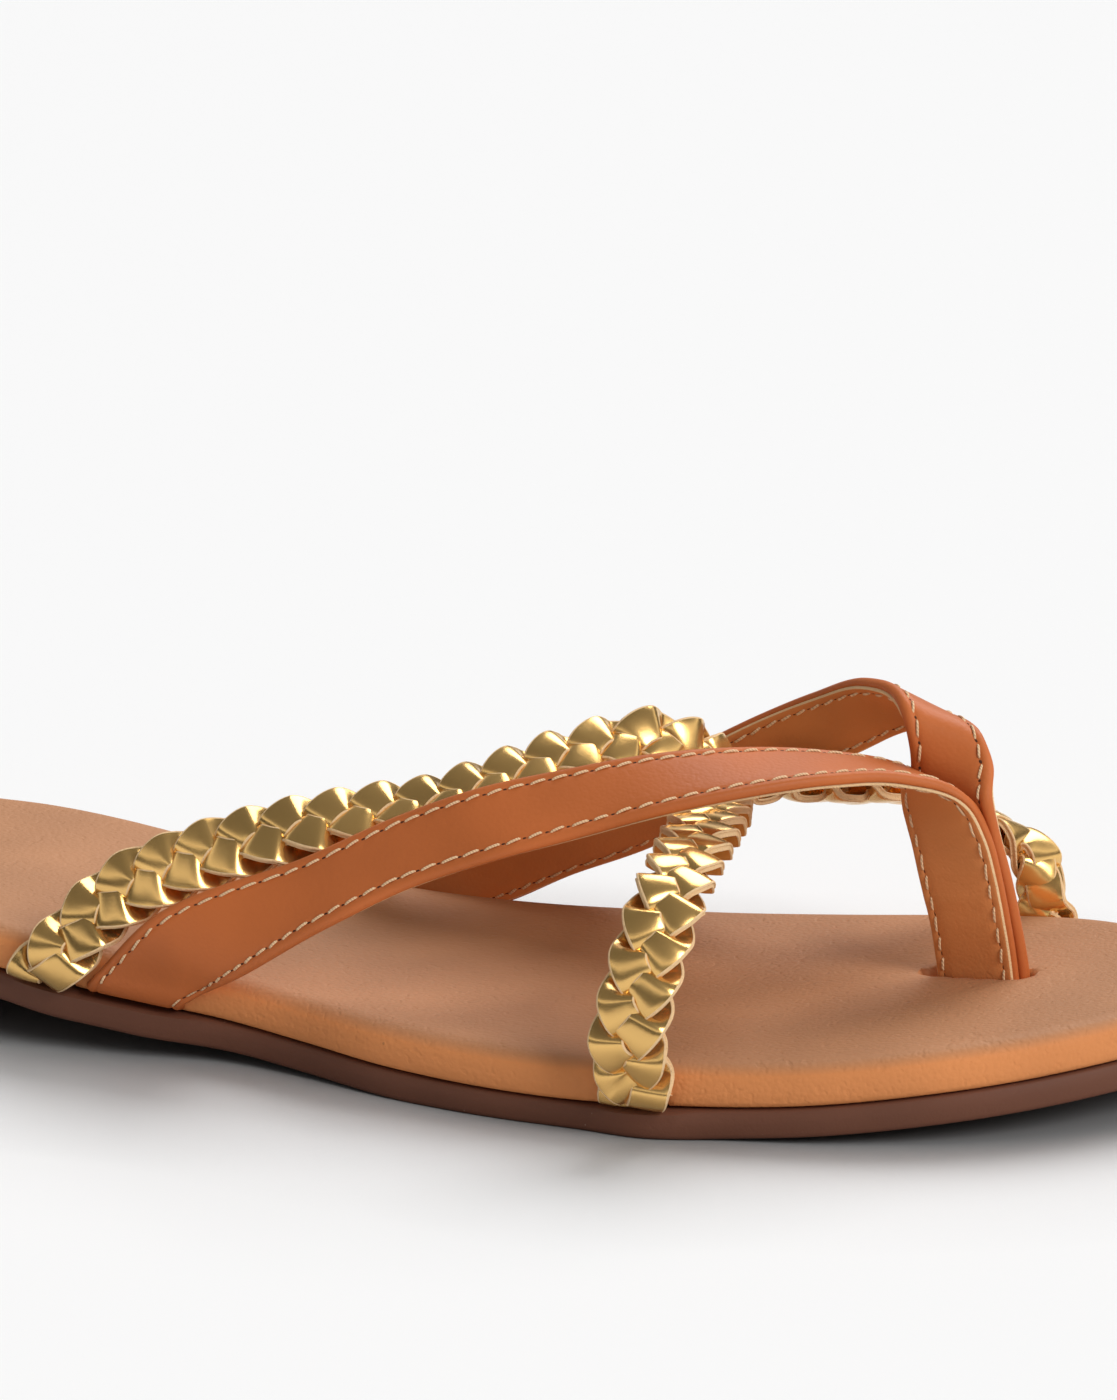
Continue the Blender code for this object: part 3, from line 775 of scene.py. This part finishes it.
def bump(tree, shader, height, strength, distance, before=None):
    node = tree.nodes.new("ShaderNodeBump")
    node.inputs["Strength"].default_value = strength
    node.inputs["Distance"].default_value = distance
    tree.links.new(height, node.inputs["Height"])
    if before:
        tree.links.new(before, node.inputs["Normal"])
    tree.links.new(node.outputs["Normal"], shader.inputs["Normal"])
    return node.outputs["Normal"]


def shade(colour, factor):
    return tuple(c * factor for c in colour)


def tan_leather(colours):
    """Smooth satin strap leather."""
    material, tree, shader = new_material("satin_tan_leather")
    if not tree:
        return material
    grain = use_group(tree, "leather_grain", leather_grain_group, Scale=1500.0, Pores=0.4)
    drift = map_range(tree, grain.outputs["Drift"], 0.3, 0.7)
    tone = mixed(tree, drift, shade(colours.tan, 0.90), shade(colours.tan, 1.10))
    tree.links.new(tone, shader.inputs["Base Color"])
    tree.links.new(map_range(tree, grain.outputs["Drift"], 0.3, 0.7, 0.42, 0.52), shader.inputs["Roughness"])
    shader.inputs["Specular IOR Level"].default_value = 0.20
    first = bump(tree, shader, grain.outputs["Height"], 0.30, 0.00010)
    creases = use_group(tree, "fine_creases", fine_creases_group, Scale=130.0)
    bump(tree, shader, creases.outputs["Height"], 0.10, 0.0002, first)
    return material


def strap_lining(colours):
    material, tree, shader = new_material("strap_lining")
    if not tree:
        return material
    grain = use_group(tree, "leather_grain", leather_grain_group, Scale=1900.0, Pores=0.7)
    drift = map_range(tree, grain.outputs["Drift"], 0.3, 0.7)
    tree.links.new(
        mixed(tree, drift, shade(colours.lining, 0.86), shade(colours.lining, 1.10)), shader.inputs["Base Color"]
    )
    shader.inputs["Roughness"].default_value = 0.58
    shader.inputs["Specular IOR Level"].default_value = 0.15
    first = bump(tree, shader, grain.outputs["Height"], 0.30, 0.0001)
    creases = use_group(tree, "fine_creases", fine_creases_group, Scale=170.0)
    creases.inputs["Stretch"].default_value = (0.3, 0.5, 1.4)
    bump(tree, shader, creases.outputs["Height"], 0.20, 0.0003, first)
    return material


def cut_edge(colours):
    """Raw pale edge of cut leather, a little fuzzy."""
    material, tree, shader = new_material("cut_edge")
    if not tree:
        return material
    grain = use_group(tree, "leather_grain", leather_grain_group, Scale=2600.0, Pores=1.0)
    tree.links.new(
        mixed(tree, grain.outputs["Drift"], shade(colours.cut_edge, 0.78), colours.cut_edge),
        shader.inputs["Base Color"],
    )
    shader.inputs["Roughness"].default_value = 0.8
    shader.inputs["Specular IOR Level"].default_value = 0.15
    bump(tree, shader, grain.outputs["Height"], 0.5, 0.0002)
    return material


def sewing_thread(colours):
    """Twisted cream thread."""
    material, tree, shader = new_material("sewing_thread")
    if not tree:
        return material
    place = tree.nodes.new("ShaderNodeTexCoord")
    twist = tree.nodes.new("ShaderNodeTexWave")
    twist.wave_type = "BANDS"
    twist.bands_direction = "DIAGONAL"
    twist.inputs["Scale"].default_value = 900.0
    tree.links.new(place.outputs["Object"], twist.inputs["Vector"])
    # Painted shade: the thread is darker in the grooves of its twist, the same bands that sink the bump.
    tree.links.new(
        mixed(tree, twist.outputs["Fac"], shade(colours.thread, 0.72), colours.thread), shader.inputs["Base Color"]
    )
    shader.inputs["Roughness"].default_value = 0.6
    shader.inputs["Specular IOR Level"].default_value = 0.15
    bump(tree, shader, twist.outputs["Fac"], 0.5, 0.0001)
    return material


def needle_hole(colours):
    material, tree, shader = new_material("needle_hole")
    if not tree:
        return material
    grain = use_group(tree, "leather_grain", leather_grain_group, Scale=2600.0, Pores=1.0)
    # Painted shade: the hole is coloured near black, a twentieth to a fifth of the tan, for the shade inside it.
    tree.links.new(
        mixed(tree, grain.outputs["Drift"], shade(colours.tan, 0.06), shade(colours.tan, 0.20)),
        shader.inputs["Base Color"],
    )
    shader.inputs["Roughness"].default_value = 0.9
    return material


def gold_foil(colours):
    """Foil-coated leather: bright, with small dents and a fine grain."""
    material, tree, shader = new_material("gold_foil")
    if not tree:
        return material
    grain = use_group(tree, "leather_grain", leather_grain_group, Scale=1100.0, Pores=0.3)
    drift = map_range(tree, grain.outputs["Drift"], 0.3, 0.7)
    tree.links.new(
        mixed(tree, drift, shade(colours.gold, 0.82), shade(colours.gold, 1.12)), shader.inputs["Base Color"]
    )
    shader.inputs["Metallic"].default_value = 0.85
    tree.links.new(map_range(tree, grain.outputs["Drift"], 0.3, 0.7, 0.17, 0.27), shader.inputs["Roughness"])
    first = bump(tree, shader, grain.outputs["Height"], 0.06, 0.00006)
    creases = use_group(tree, "fine_creases", fine_creases_group, Scale=240.0)
    creases.inputs["Stretch"].default_value = (0.7, 1.0, 0.7)
    bump(tree, shader, creases.outputs["Height"], 0.22, 0.0003, first)
    return material


def footbed_cover(colours):
    """Fine-grained camel cover; where it turns down at the side it takes a brighter, warmer colour, painted light
    for the light that the side catches.
    """
    material, tree, shader = new_material("camel_cover")
    if not tree:
        return material
    grain = use_group(tree, "leather_grain", leather_grain_group, Scale=1300.0, Pores=0.8)
    shape = tree.nodes.new("ShaderNodeNewGeometry")
    axes = tree.nodes.new("ShaderNodeSeparateXYZ")
    tree.links.new(shape.outputs["Normal"], axes.inputs["Vector"])
    # Painted light: the steeper the cover, the more it takes the brighter side colour, standing for the light on
    # the turned-down side.
    painted_side_light = map_range(tree, axes.outputs["Z"], 0.95, 0.35)
    tone = mixed(tree, painted_side_light, colours.footbed, colours.footbed_side_painted_light)
    drift = map_range(tree, grain.outputs["Drift"], 0.25, 0.75, 0.0, 1.0)
    tone = mixed(tree, 1.0, tone, mixed(tree, drift, (0.90, 0.89, 0.88), (1.06, 1.05, 1.04)), "MULTIPLY")
    specks = use_group(tree, "dust_specks", specks_group, Scale=330.0, Size=0.07)
    tone = mixed(tree, math_node(tree, "MULTIPLY", specks.outputs["Mask"], 0.35), tone, (0.12, 0.06, 0.03))
    tree.links.new(tone, shader.inputs["Base Color"])
    shader.inputs["Roughness"].default_value = 0.62
    shader.inputs["Specular IOR Level"].default_value = 0.22
    first = bump(tree, shader, grain.outputs["Height"], 0.45, 0.00015)
    creases = use_group(tree, "fine_creases", fine_creases_group, Scale=60.0)
    bump(tree, shader, creases.outputs["Height"], 0.22, 0.0004, first)
    return material


def outsole_rubber(colours):
    """Smooth brown rubber with pale specks, and fine ribs underneath."""
    material, tree, shader = new_material("brown_rubber")
    if not tree:
        return material
    grain = use_group(tree, "leather_grain", leather_grain_group, Scale=2200.0, Pores=0.6)
    specks = use_group(tree, "dust_specks", specks_group, Scale=900.0, Size=0.10)
    tone = mixed(tree, grain.outputs["Drift"], shade(colours.outsole, 0.8), shade(colours.outsole, 1.25))
    tone = mixed(tree, math_node(tree, "MULTIPLY", specks.outputs["Mask"], 0.5), tone, (0.42, 0.30, 0.22))
    tree.links.new(tone, shader.inputs["Base Color"])
    shader.inputs["Roughness"].default_value = 0.62
    shader.inputs["Specular IOR Level"].default_value = 0.30
    first = bump(tree, shader, grain.outputs["Height"], 0.18, 0.0001)
    place = tree.nodes.new("ShaderNodeTexCoord")
    ribs = tree.nodes.new("ShaderNodeTexWave")
    ribs.inputs["Scale"].default_value = 70.0
    shape = tree.nodes.new("ShaderNodeNewGeometry")
    axes = tree.nodes.new("ShaderNodeSeparateXYZ")
    tree.links.new(shape.outputs["Normal"], axes.inputs["Vector"])
    tree.links.new(place.outputs["Object"], ribs.inputs["Vector"])
    below = map_range(tree, axes.outputs["Z"], -0.8, -0.97)
    bump(tree, shader, math_node(tree, "MULTIPLY", ribs.outputs["Fac"], below), 0.8, 0.0006, first)
    return material


# Pieces


def current_last(context):
    return Last(context.scene.sandal_sole, context.scene.sandal_straps)


def outline_loop(last, stations, inset):
    """Inset copy of the plan outline at the stations: outer side to the toe, then back along the inner side."""
    outer = np.column_stack((stations, last.side(stations, False)))
    inner = np.column_stack((stations, last.side(stations, True)))
    loop = np.vstack((outer, inner[-2:0:-1]))
    normal = np.roll(loop, -1, axis=0) - np.roll(loop, 1, axis=0)
    normal = unit(np.column_stack((-normal[:, 1], normal[:, 0])))
    return loop + normal * inset


def layer(last, stations, rings, across, cup=0.0):
    """Points and faces of a sole layer from rings, each an inset and a height function, bottom first."""
    skins = []
    for inset, height in rings:
        flat = outline_loop(last, stations, inset)
        skins.append(np.column_stack((flat, height(flat[:, 0]))))
    count = len(skins[0])
    points = list(np.concatenate(skins))
    faces = []
    j = np.arange(count)
    k = (j + 1) % count
    for i in range(len(skins) - 1):
        faces += np.column_stack((i * count + j, i * count + k, (i + 1) * count + k, (i + 1) * count + j)).tolist()
    last_station = len(stations) - 1
    for which in (0, len(skins) - 1):
        base = which * count
        lines = []
        for a in range(len(stations)):
            b = 0 if a == 0 else count - a
            b = a if a == last_station else b
            pa, pb = skins[which][a], skins[which][b]
            line = [base + a]
            if a != b:
                share = np.arange(1, across)[:, None] / across
                row = pa + (pb - pa) * share
                row[:, 2:] -= cup * np.sin(math.pi * share) if which else 0.0
                line += list(range(len(points), len(points) + across - 1))
                points += list(row)
            else:
                line += [base + a] * (across - 1)
            line.append(base + b)
            lines.append(line)
        for one, two in zip(lines, lines[1:]):
            for m in range(across):
                quad = [one[m], one[m + 1], two[m + 1], two[m]]
                quad = [q for n, q in enumerate(quad) if q not in quad[:n]]
                if len(quad) > 2:
                    faces.append(quad[::-1] if which == 0 else quad)
    return np.array(points), faces


def stations_for(sole, count, extra=()):
    even = sole.length * (1 - np.cos(np.linspace(0, math.pi, count))) / 2
    keep = [x for x in even if all(abs(x - e) > 0.0006 for e in extra)]
    return np.array(sorted(keep + list(extra)))


def strap_ends():
    """Where straps come out between footbed and outsole: middle and half width along the sole, and side."""
    for ends, inner in (
        (OUTER_STRAP_END, False), (INNER_STRAP_END, True), (LONG_BRAID_START, False),
        (LONG_BRAID_FINISH, True), (SHORT_BRAID_START, False), (SHORT_BRAID_FINISH, True),
    ):
        yield (ends[0] + ends[1]) / 2, abs(ends[0] - ends[1]) / 2, inner


class SANDAL_OT_outsole(bpy.types.Operator):
    """Build the rubber outsole with its low heel"""

    bl_idname = "sandal.outsole"
    bl_label = "Outsole"

    def execute(self, context):
        last = current_last(context)
        sole = last.sole
        stations = stations_for(sole, 190, (sole.heel_end, sole.heel_end + 0.0025, sole.heel_end + 0.005))

        def joint(x):
            return last.joint_z(x) - PIECE_GAP

        def between(share):
            return lambda x: last.under_z(x) + share * (joint(x) - last.under_z(x))

        points, faces = layer(last, stations, (
            (0.0013, last.under_z),
            (0.0008, lambda x: last.under_z(x) + 0.00012),
            (0.0006, lambda x: last.under_z(x) + 0.0004),
            (0.0005, lambda x: last.under_z(x) + 0.0009),
            (0.0005, between(0.5)),
            (0.0005, lambda x: joint(x) - 0.0004),
            (0.0009, joint),
        ), 24)
        points = self.bulged(last, points)
        obj = piece(
            "outsole_rubber", last.to_world(points), faces, [outsole_rubber(context.scene.sandal_finishes)],
        )
        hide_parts("outsole")
        return {"FINISHED"}

    def bulged(self, last, points):
        """Push the rubber out a little under each strap's foot, as the strap's thickness does."""
        x, y, z = points.T
        push = np.zeros_like(x)
        for middle_share, half_share, inner in strap_ends():
            sign = 1.0 if inner else -1.0
            near = np.clip(1.0 - (last.side(x, inner) - y) * sign / 0.006, 0.0, 1.0)
            away = np.abs(x / last.sole.length - middle_share - 0.004) * last.sole.length
            push += sign * near * soft_fall(away, half_share * last.sole.length + 0.003) * 0.0022
        return np.column_stack((x, y + push, z))


class SANDAL_OT_footbed(bpy.types.Operator):
    """Build the padded footbed, with its slot for the toe post and a recess under each strap"""

    bl_idname = "sandal.footbed"
    bl_label = "Footbed"

    def execute(self, context):
        last = current_last(context)
        sole = last.sole
        rise = sole.footbed_thick
        turn = sole.edge_round
        rings = [(0.0012, last.joint_z), (0.0004, lambda x: last.joint_z(x) + 0.0004)]
        rings.append((0.0, lambda x: last.joint_z(x) + 0.0011))
        for angle in np.radians(np.linspace(0, 90, 12)):
            inset = 0.85 * turn * (1 - math.cos(angle)) ** 1.35
            up = rise - turn + turn * math.sin(angle) ** 0.85
            rings.append((inset, lambda x, up=up: last.joint_z(x) + up))
        points, faces = layer(last, stations_for(sole, 240), rings, 70, cup=0.0006)
        points = self.shaped(last, points)
        obj = piece(
            "footbed_cover", last.to_world(points), faces, [footbed_cover(context.scene.sandal_finishes)],
        )
        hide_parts("footbed")
        return {"FINISHED"}

    def shaped(self, last, points):
        """Sink the cover round the toe post, and lift its lower edge over each strap."""
        x, y, z = points.T
        above = (z - last.joint_z(x)) / last.sole.footbed_thick
        post = last.table(TOE_POST)[-2]
        front, rear = post[:3], post[3:]
        middle = (front + rear) / 2 + np.array((0.0, 0.0012, 0.0))
        along = unit(rear[:2] - front[:2])
        reach = np.linalg.norm(rear[:2] - front[:2]) / 2
        offset = points[:, :2] - middle[:2]
        run = np.clip(offset @ along, -reach, reach)
        distance = np.linalg.norm(offset - run[:, None] * along, axis=1)
        depth = 0.0026 * soft_fall(np.maximum(distance - 0.0018, 0.0), 0.0004)
        depth += 0.0002 * soft_fall(np.maximum(distance - 0.0020, 0.0), 0.0020)
        z = z - depth * (above > 0.8)
        lift = np.zeros_like(z)
        for middle_share, half_share, inner in strap_ends():
            near = np.abs(y - last.side(x, inner)) < 0.004
            away = np.abs(x / last.sole.length - middle_share) * last.sole.length
            away = np.maximum(away - (half_share * last.sole.length - 0.0022), 0.0)
            lift = np.maximum(lift, near * soft_fall(away, 0.0003) * 0.0024)
        z = z + lift * np.clip(1.0 - above / 0.45, 0.0, 1.0)
        return np.column_stack((x, y, z))


def tan_straps(last):
    """Bands of the outer and the inner tan strap, which meet face to face at the toe post."""
    thick = last.strap.thick
    post = last.table(TOE_POST)
    outer, inner = last.table(OUTER_STRAP), last.table(INNER_STRAP)
    inner_post = facing(post, thick + 0.00005)[1:]
    inner_post[:, [0, 3]] += POST_STEP * np.linspace(0.0, 1.0, len(inner_post))[:, None]
    inner_post[0, 0] += FOLD_FLARE
    outer_root = last.tuck(OUTER_STRAP_END, False, STRAP_STAND_OFF, thick, outer[0])
    inner_root = last.tuck(INNER_STRAP_END, True, STRAP_STAND_OFF, thick, inner[0])
    post_run = np.linalg.norm(np.diff((post[:, :3] + post[:, 3:]) / 2, axis=0), axis=1).sum()
    return (
        Band(np.vstack((outer_root, outer, post)), 1.0),
        Band(np.vstack((inner_root, inner, inner_post)), -1.0),
        post_run,
    )


class SANDAL_OT_tan_straps(bpy.types.Operator):
    """Build the two folded tan straps and their linings"""

    bl_idname = "sandal.tan_straps"
    bl_label = "Tan straps"

    def execute(self, context):
        last = current_last(context)
        colours = context.scene.sandal_finishes
        outer, inner, _ = tan_straps(last)
        for name, band, creases in (
            ("outer_strap", outer, OUTER_CREASES),
            ("inner_strap", inner, INNER_CREASES),
        ):
            rings = wall_rings(band, LEATHER_SECTION, creases)
            obj = piece(
                name + "_leather", last.to_world(rings.reshape(-1, 3)), skin(rings), [tan_leather(colours)],
            )
            if name == "outer_strap":
                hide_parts("thong_straps")
            rings = wall_rings(band, LINING_SECTION, creases)
            insets = np.array(mirrored(LINING_SECTION))[:, 1] * 1000
            pale = (np.minimum(insets, np.roll(insets, -1)) < CUT_EDGE_SPAN[1] + 0.01) & (
                np.maximum(insets, np.roll(insets, -1)) < CUT_EDGE_SPAN[1] + 0.03
            )
            which = np.tile(pale.astype(int), len(rings) - 1).tolist() + [0, 0]
            piece(
                name + "_lining", last.to_world(rings.reshape(-1, 3)), skin(rings),
                [strap_lining(colours), cut_edge(colours)], which,
            )
        return {"FINISHED"}


class SANDAL_OT_stitching(bpy.types.Operator):
    """Sew the stitch rows on both faces of the tan straps"""

    bl_idname = "sandal.stitching"
    bl_label = "Stitching"

    def execute(self, context):
        last = current_last(context)
        strap = last.strap
        colours = context.scene.sandal_finishes
        outer, inner, post_run = tan_straps(last)
        rng = np.random.default_rng(4)
        for name, band in (("outer_strap", outer), ("inner_strap", inner)):
            threads, holes = [], []
            start = 1.22 * strap.tuck
            for face, stop in ((1.0, band.length - post_run * 0.96), (-1.0, band.length - 0.0050)):
                for side in (-1.0, 1.0):
                    begin = start + (0.0 if side < 0 else 0.45 * strap.stitch)
                    threads += stitches(band, strap, begin, stop, side, SEAM_HEIGHT + 0.00012, face, rng)
                    holes += needle_holes(band, strap, begin, stop, side, SEAM_HEIGHT, face, rng)
            points, faces = joined(threads)
            piece(name + "_thread", last.to_world(points), faces, [sewing_thread(colours)])
            points, faces = joined(holes)
            piece(name + "_needle_holes", last.to_world(points), faces, [needle_hole(colours)])
        return {"FINISHED"}


class SANDAL_OT_braids(bpy.types.Operator):
    """Plait the long and the short gold strap, three strips each"""

    bl_idname = "sandal.braids"
    bl_label = "Braids"

    def execute(self, context):
        last = current_last(context)
        braid = context.scene.sandal_braids
        colours = context.scene.sandal_finishes
        end = braid.end_thick
        long_free, short_free = last.table(LONG_BRAID), last.table(SHORT_BRAID)
        long_rows = np.vstack((
            last.tuck(LONG_BRAID_START, False, BRAID_STAND_OFF, end, long_free[0]),
            long_free,
            last.tuck(LONG_BRAID_FINISH, True, BRAID_STAND_OFF, end, long_free[-1])[::-1],
        ))
        short_rows = np.vstack((
            last.tuck(SHORT_BRAID_START, False, BRAID_STAND_OFF, end, short_free[0]),
            short_free,
            last.tuck(SHORT_BRAID_FINISH, True, BRAID_STAND_OFF, end, short_free[-1])[::-1],
        ))
        edge = np.minimum(np.abs(STRIP_SECTION)[:, 0], np.abs(np.roll(STRIP_SECTION, -1, axis=0))[:, 0])
        cut = (edge > STRIP_CUT_FROM).astype(int)
        for name, rows, pitch in (
            ("long_braid", long_rows, braid.long_pitch), ("short_braid", short_rows, braid.short_pitch)
        ):
            band = Band(rows, 1.0, 0.0004)
            for number in range(3):
                rings = strand(band, braid, pitch, last.strap.tuck, 2 * math.pi * number / 3)
                which = np.tile(cut, len(rings) - 1).tolist() + [0, 0]
                obj = piece(
                    f"{name}_strip_{number + 1}", last.to_world(rings.reshape(-1, 3)), skin(rings),
                    [gold_foil(colours), cut_edge(colours)], which, 60.0,
                )
                if name == "long_braid" and number == 0:
                    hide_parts("braided_straps")
        return {"FINISHED"}


class SANDAL_OT_stage(bpy.types.Operator):
    """Set up the floor, the light and the camera"""

    bl_idname = "sandal.stage"
    bl_label = "Stage"

    def execute(self, context):
        scene = context.scene
        settings = scene.sandal_stage
        scene.view_settings.view_transform = "Standard"
        self.floor(settings)
        self.sky(scene, settings)
        self.lamp("top_light", (0.10, 0.80, 0.85), 40.0, settings.top)
        self.lamp("toe_light", (0.80, -0.35, 0.58), 30.0, settings.key)
        self.camera(scene)
        return {"FINISHED"}

    def floor(self, settings):
        half, rows = 4.0, 24
        line = np.linspace(-half, half, rows + 1)
        points = [(x, y, 0.0) for y in line for x in line]
        wide = rows + 1
        faces = [
            (j * wide + i, j * wide + i + 1, (j + 1) * wide + i + 1, (j + 1) * wide + i)
            for j in range(rows) for i in range(rows)
        ]
        mesh = bpy.data.meshes.new("studio_floor")
        mesh.from_pydata(points, [], faces)
        obj = bpy.data.objects.new("studio_floor", mesh)
        bpy.context.scene.collection.objects.link(obj)
        material, tree, shader = new_material("studio_floor")
        mesh.materials.append(material)
        noise = tree.nodes.new("ShaderNodeTexNoise")
        noise.inputs["Scale"].default_value = 3.0
        tone = mixed(tree, noise.outputs["Fac"], shade(settings.floor, 0.995), settings.floor)
        # Painted contact shadow: where ambient occlusion finds the sandal close by, the floor colour darkens
        # towards 0.22 of itself.
        near = tree.nodes.new("ShaderNodeAmbientOcclusion")
        near.inputs["Distance"].default_value = 0.045
        near.samples = 2
        painted_shadow_openness = math_node(tree, "POWER", near.outputs["AO"], 2.6)
        tone = mixed(tree, painted_shadow_openness, shade(settings.floor, 0.22), tone)
        tree.links.new(tone, shader.inputs["Base Color"])
        shader.inputs["Roughness"].default_value = 0.9
        shader.inputs["Specular IOR Level"].default_value = 0.1

    def sky(self, scene, settings):
        """Even light; glossy rays see a studio with a dark band, for the foil to mirror."""
        world = bpy.data.worlds.new("studio")
        scene.world = world
        world.use_nodes = True
        tree = world.node_tree
        place = tree.nodes.new("ShaderNodeTexCoord")
        axes = tree.nodes.new("ShaderNodeSeparateXYZ")
        ramp = tree.nodes.new("ShaderNodeValToRGB")
        tree.links.new(place.outputs["Generated"], axes.inputs["Vector"])
        tree.links.new(axes.outputs["Z"], ramp.inputs["Fac"])
        first, last = ramp.color_ramp.elements
        first.position, first.color = 0.0, (0.80, 0.80, 0.80, 1.0)
        last.position, last.color = 1.0, (0.12, 0.12, 0.12, 1.0)
        for stop, level in ((0.05, 0.75), (0.10, 0.03), (0.34, 0.04), (0.42, 1.3), (0.50, 0.7), (0.62, 0.14)):
            ramp.color_ramp.elements.new(stop).color = (level, level, level, 1.0)
        even = tree.nodes["Background"]
        even.inputs["Color"].default_value = (1.0, 1.0, 1.0, 1.0)
        even.inputs["Strength"].default_value = settings.sky
        studio = tree.nodes.new("ShaderNodeBackground")
        studio.inputs["Strength"].default_value = settings.mirrored
        tree.links.new(ramp.outputs["Color"], studio.inputs["Color"])
        ray = tree.nodes.new("ShaderNodeLightPath")
        both = tree.nodes.new("ShaderNodeMixShader")
        tree.links.new(ray.outputs["Is Glossy Ray"], both.inputs["Fac"])
        tree.links.new(even.outputs[0], both.inputs[1])
        tree.links.new(studio.outputs[0], both.inputs[2])
        tree.links.new(both.outputs[0], tree.nodes["World Output"].inputs["Surface"])

    def lamp(self, name, place, spread, strength):
        """A distant soft light, so that the floor is lit evenly."""
        light = bpy.data.lights.new(name, "SUN")
        light.angle = math.radians(spread)
        light.energy = strength
        obj = bpy.data.objects.new(name, light)
        bpy.context.scene.collection.objects.link(obj)
        obj.location = place
        obj.rotation_euler = (-Vector(place)).to_track_quat("-Z", "Y").to_euler()

    def camera(self, scene):
        azimuth, elevation, roll = (math.radians(v) for v in (PHOTO_AZIMUTH, PHOTO_ELEVATION, PHOTO_ROLL))
        back = Vector((
            math.sin(azimuth) * math.cos(elevation), -math.cos(azimuth) * math.cos(elevation), math.sin(elevation)
        ))
        right = Vector((math.cos(azimuth), math.sin(azimuth), 0.0))
        up = back.cross(right)
        turned = right * math.cos(roll) + up * math.sin(roll)
        lens = bpy.data.cameras.new("photo_camera")
        lens.sensor_width = 36.0
        lens.lens = PHOTO_LENS
        lens.clip_end = 20.0
        obj = bpy.data.objects.new("photo_camera", lens)
        scene.collection.objects.link(obj)
        axes = Matrix((turned, back.cross(turned), back)).transposed().to_4x4()
        axes.translation = Vector(PHOTO_TARGET) + back * PHOTO_DISTANCE
        obj.matrix_world = axes
        scene.camera = obj


STEPS = (
    SANDAL_OT_stage,
    SANDAL_OT_outsole,
    SANDAL_OT_footbed,
    SANDAL_OT_tan_straps,
    SANDAL_OT_stitching,
    SANDAL_OT_braids,
)
SETTINGS = (
    ("sandal_sole", SoleSizes),
    ("sandal_straps", StrapSizes),
    ("sandal_braids", BraidSizes),
    ("sandal_finishes", Finishes),
    ("sandal_stage", StageSettings),
)


class SANDAL_PT_panel(bpy.types.Panel):
    """Sizes, colours and building steps of the sandal"""

    bl_idname = "SANDAL_PT_panel"
    bl_label = "Sandal"
    bl_space_type = "VIEW_3D"
    bl_region_type = "UI"
    bl_category = "Sandal"

    def draw(self, context):
        for name, group in SETTINGS:
            box = self.layout.box()
            box.label(text=group.__doc__.rstrip("."))
            for prop in group.__annotations__:
                box.prop(getattr(context.scene, name), prop)
        for step in STEPS:
            self.layout.operator(step.bl_idname)


def register():
    for name, group in SETTINGS:
        bpy.utils.register_class(group)
        setattr(bpy.types.Scene, name, PointerProperty(type=group))
    for step in STEPS:
        bpy.utils.register_class(step)
    bpy.utils.register_class(SANDAL_PT_panel)


def unregister():
    bpy.utils.unregister_class(SANDAL_PT_panel)
    for step in reversed(STEPS):
        bpy.utils.unregister_class(step)
    for name, group in reversed(SETTINGS):
        delattr(bpy.types.Scene, name)
        bpy.utils.unregister_class(group)


def main():
    register()
    bpy.ops.sandal.stage()
    bpy.ops.sandal.outsole()
    bpy.ops.sandal.footbed()
    bpy.ops.sandal.tan_straps()
    bpy.ops.sandal.stitching()
    bpy.ops.sandal.braids()


if __name__ == "__main__":
    main()
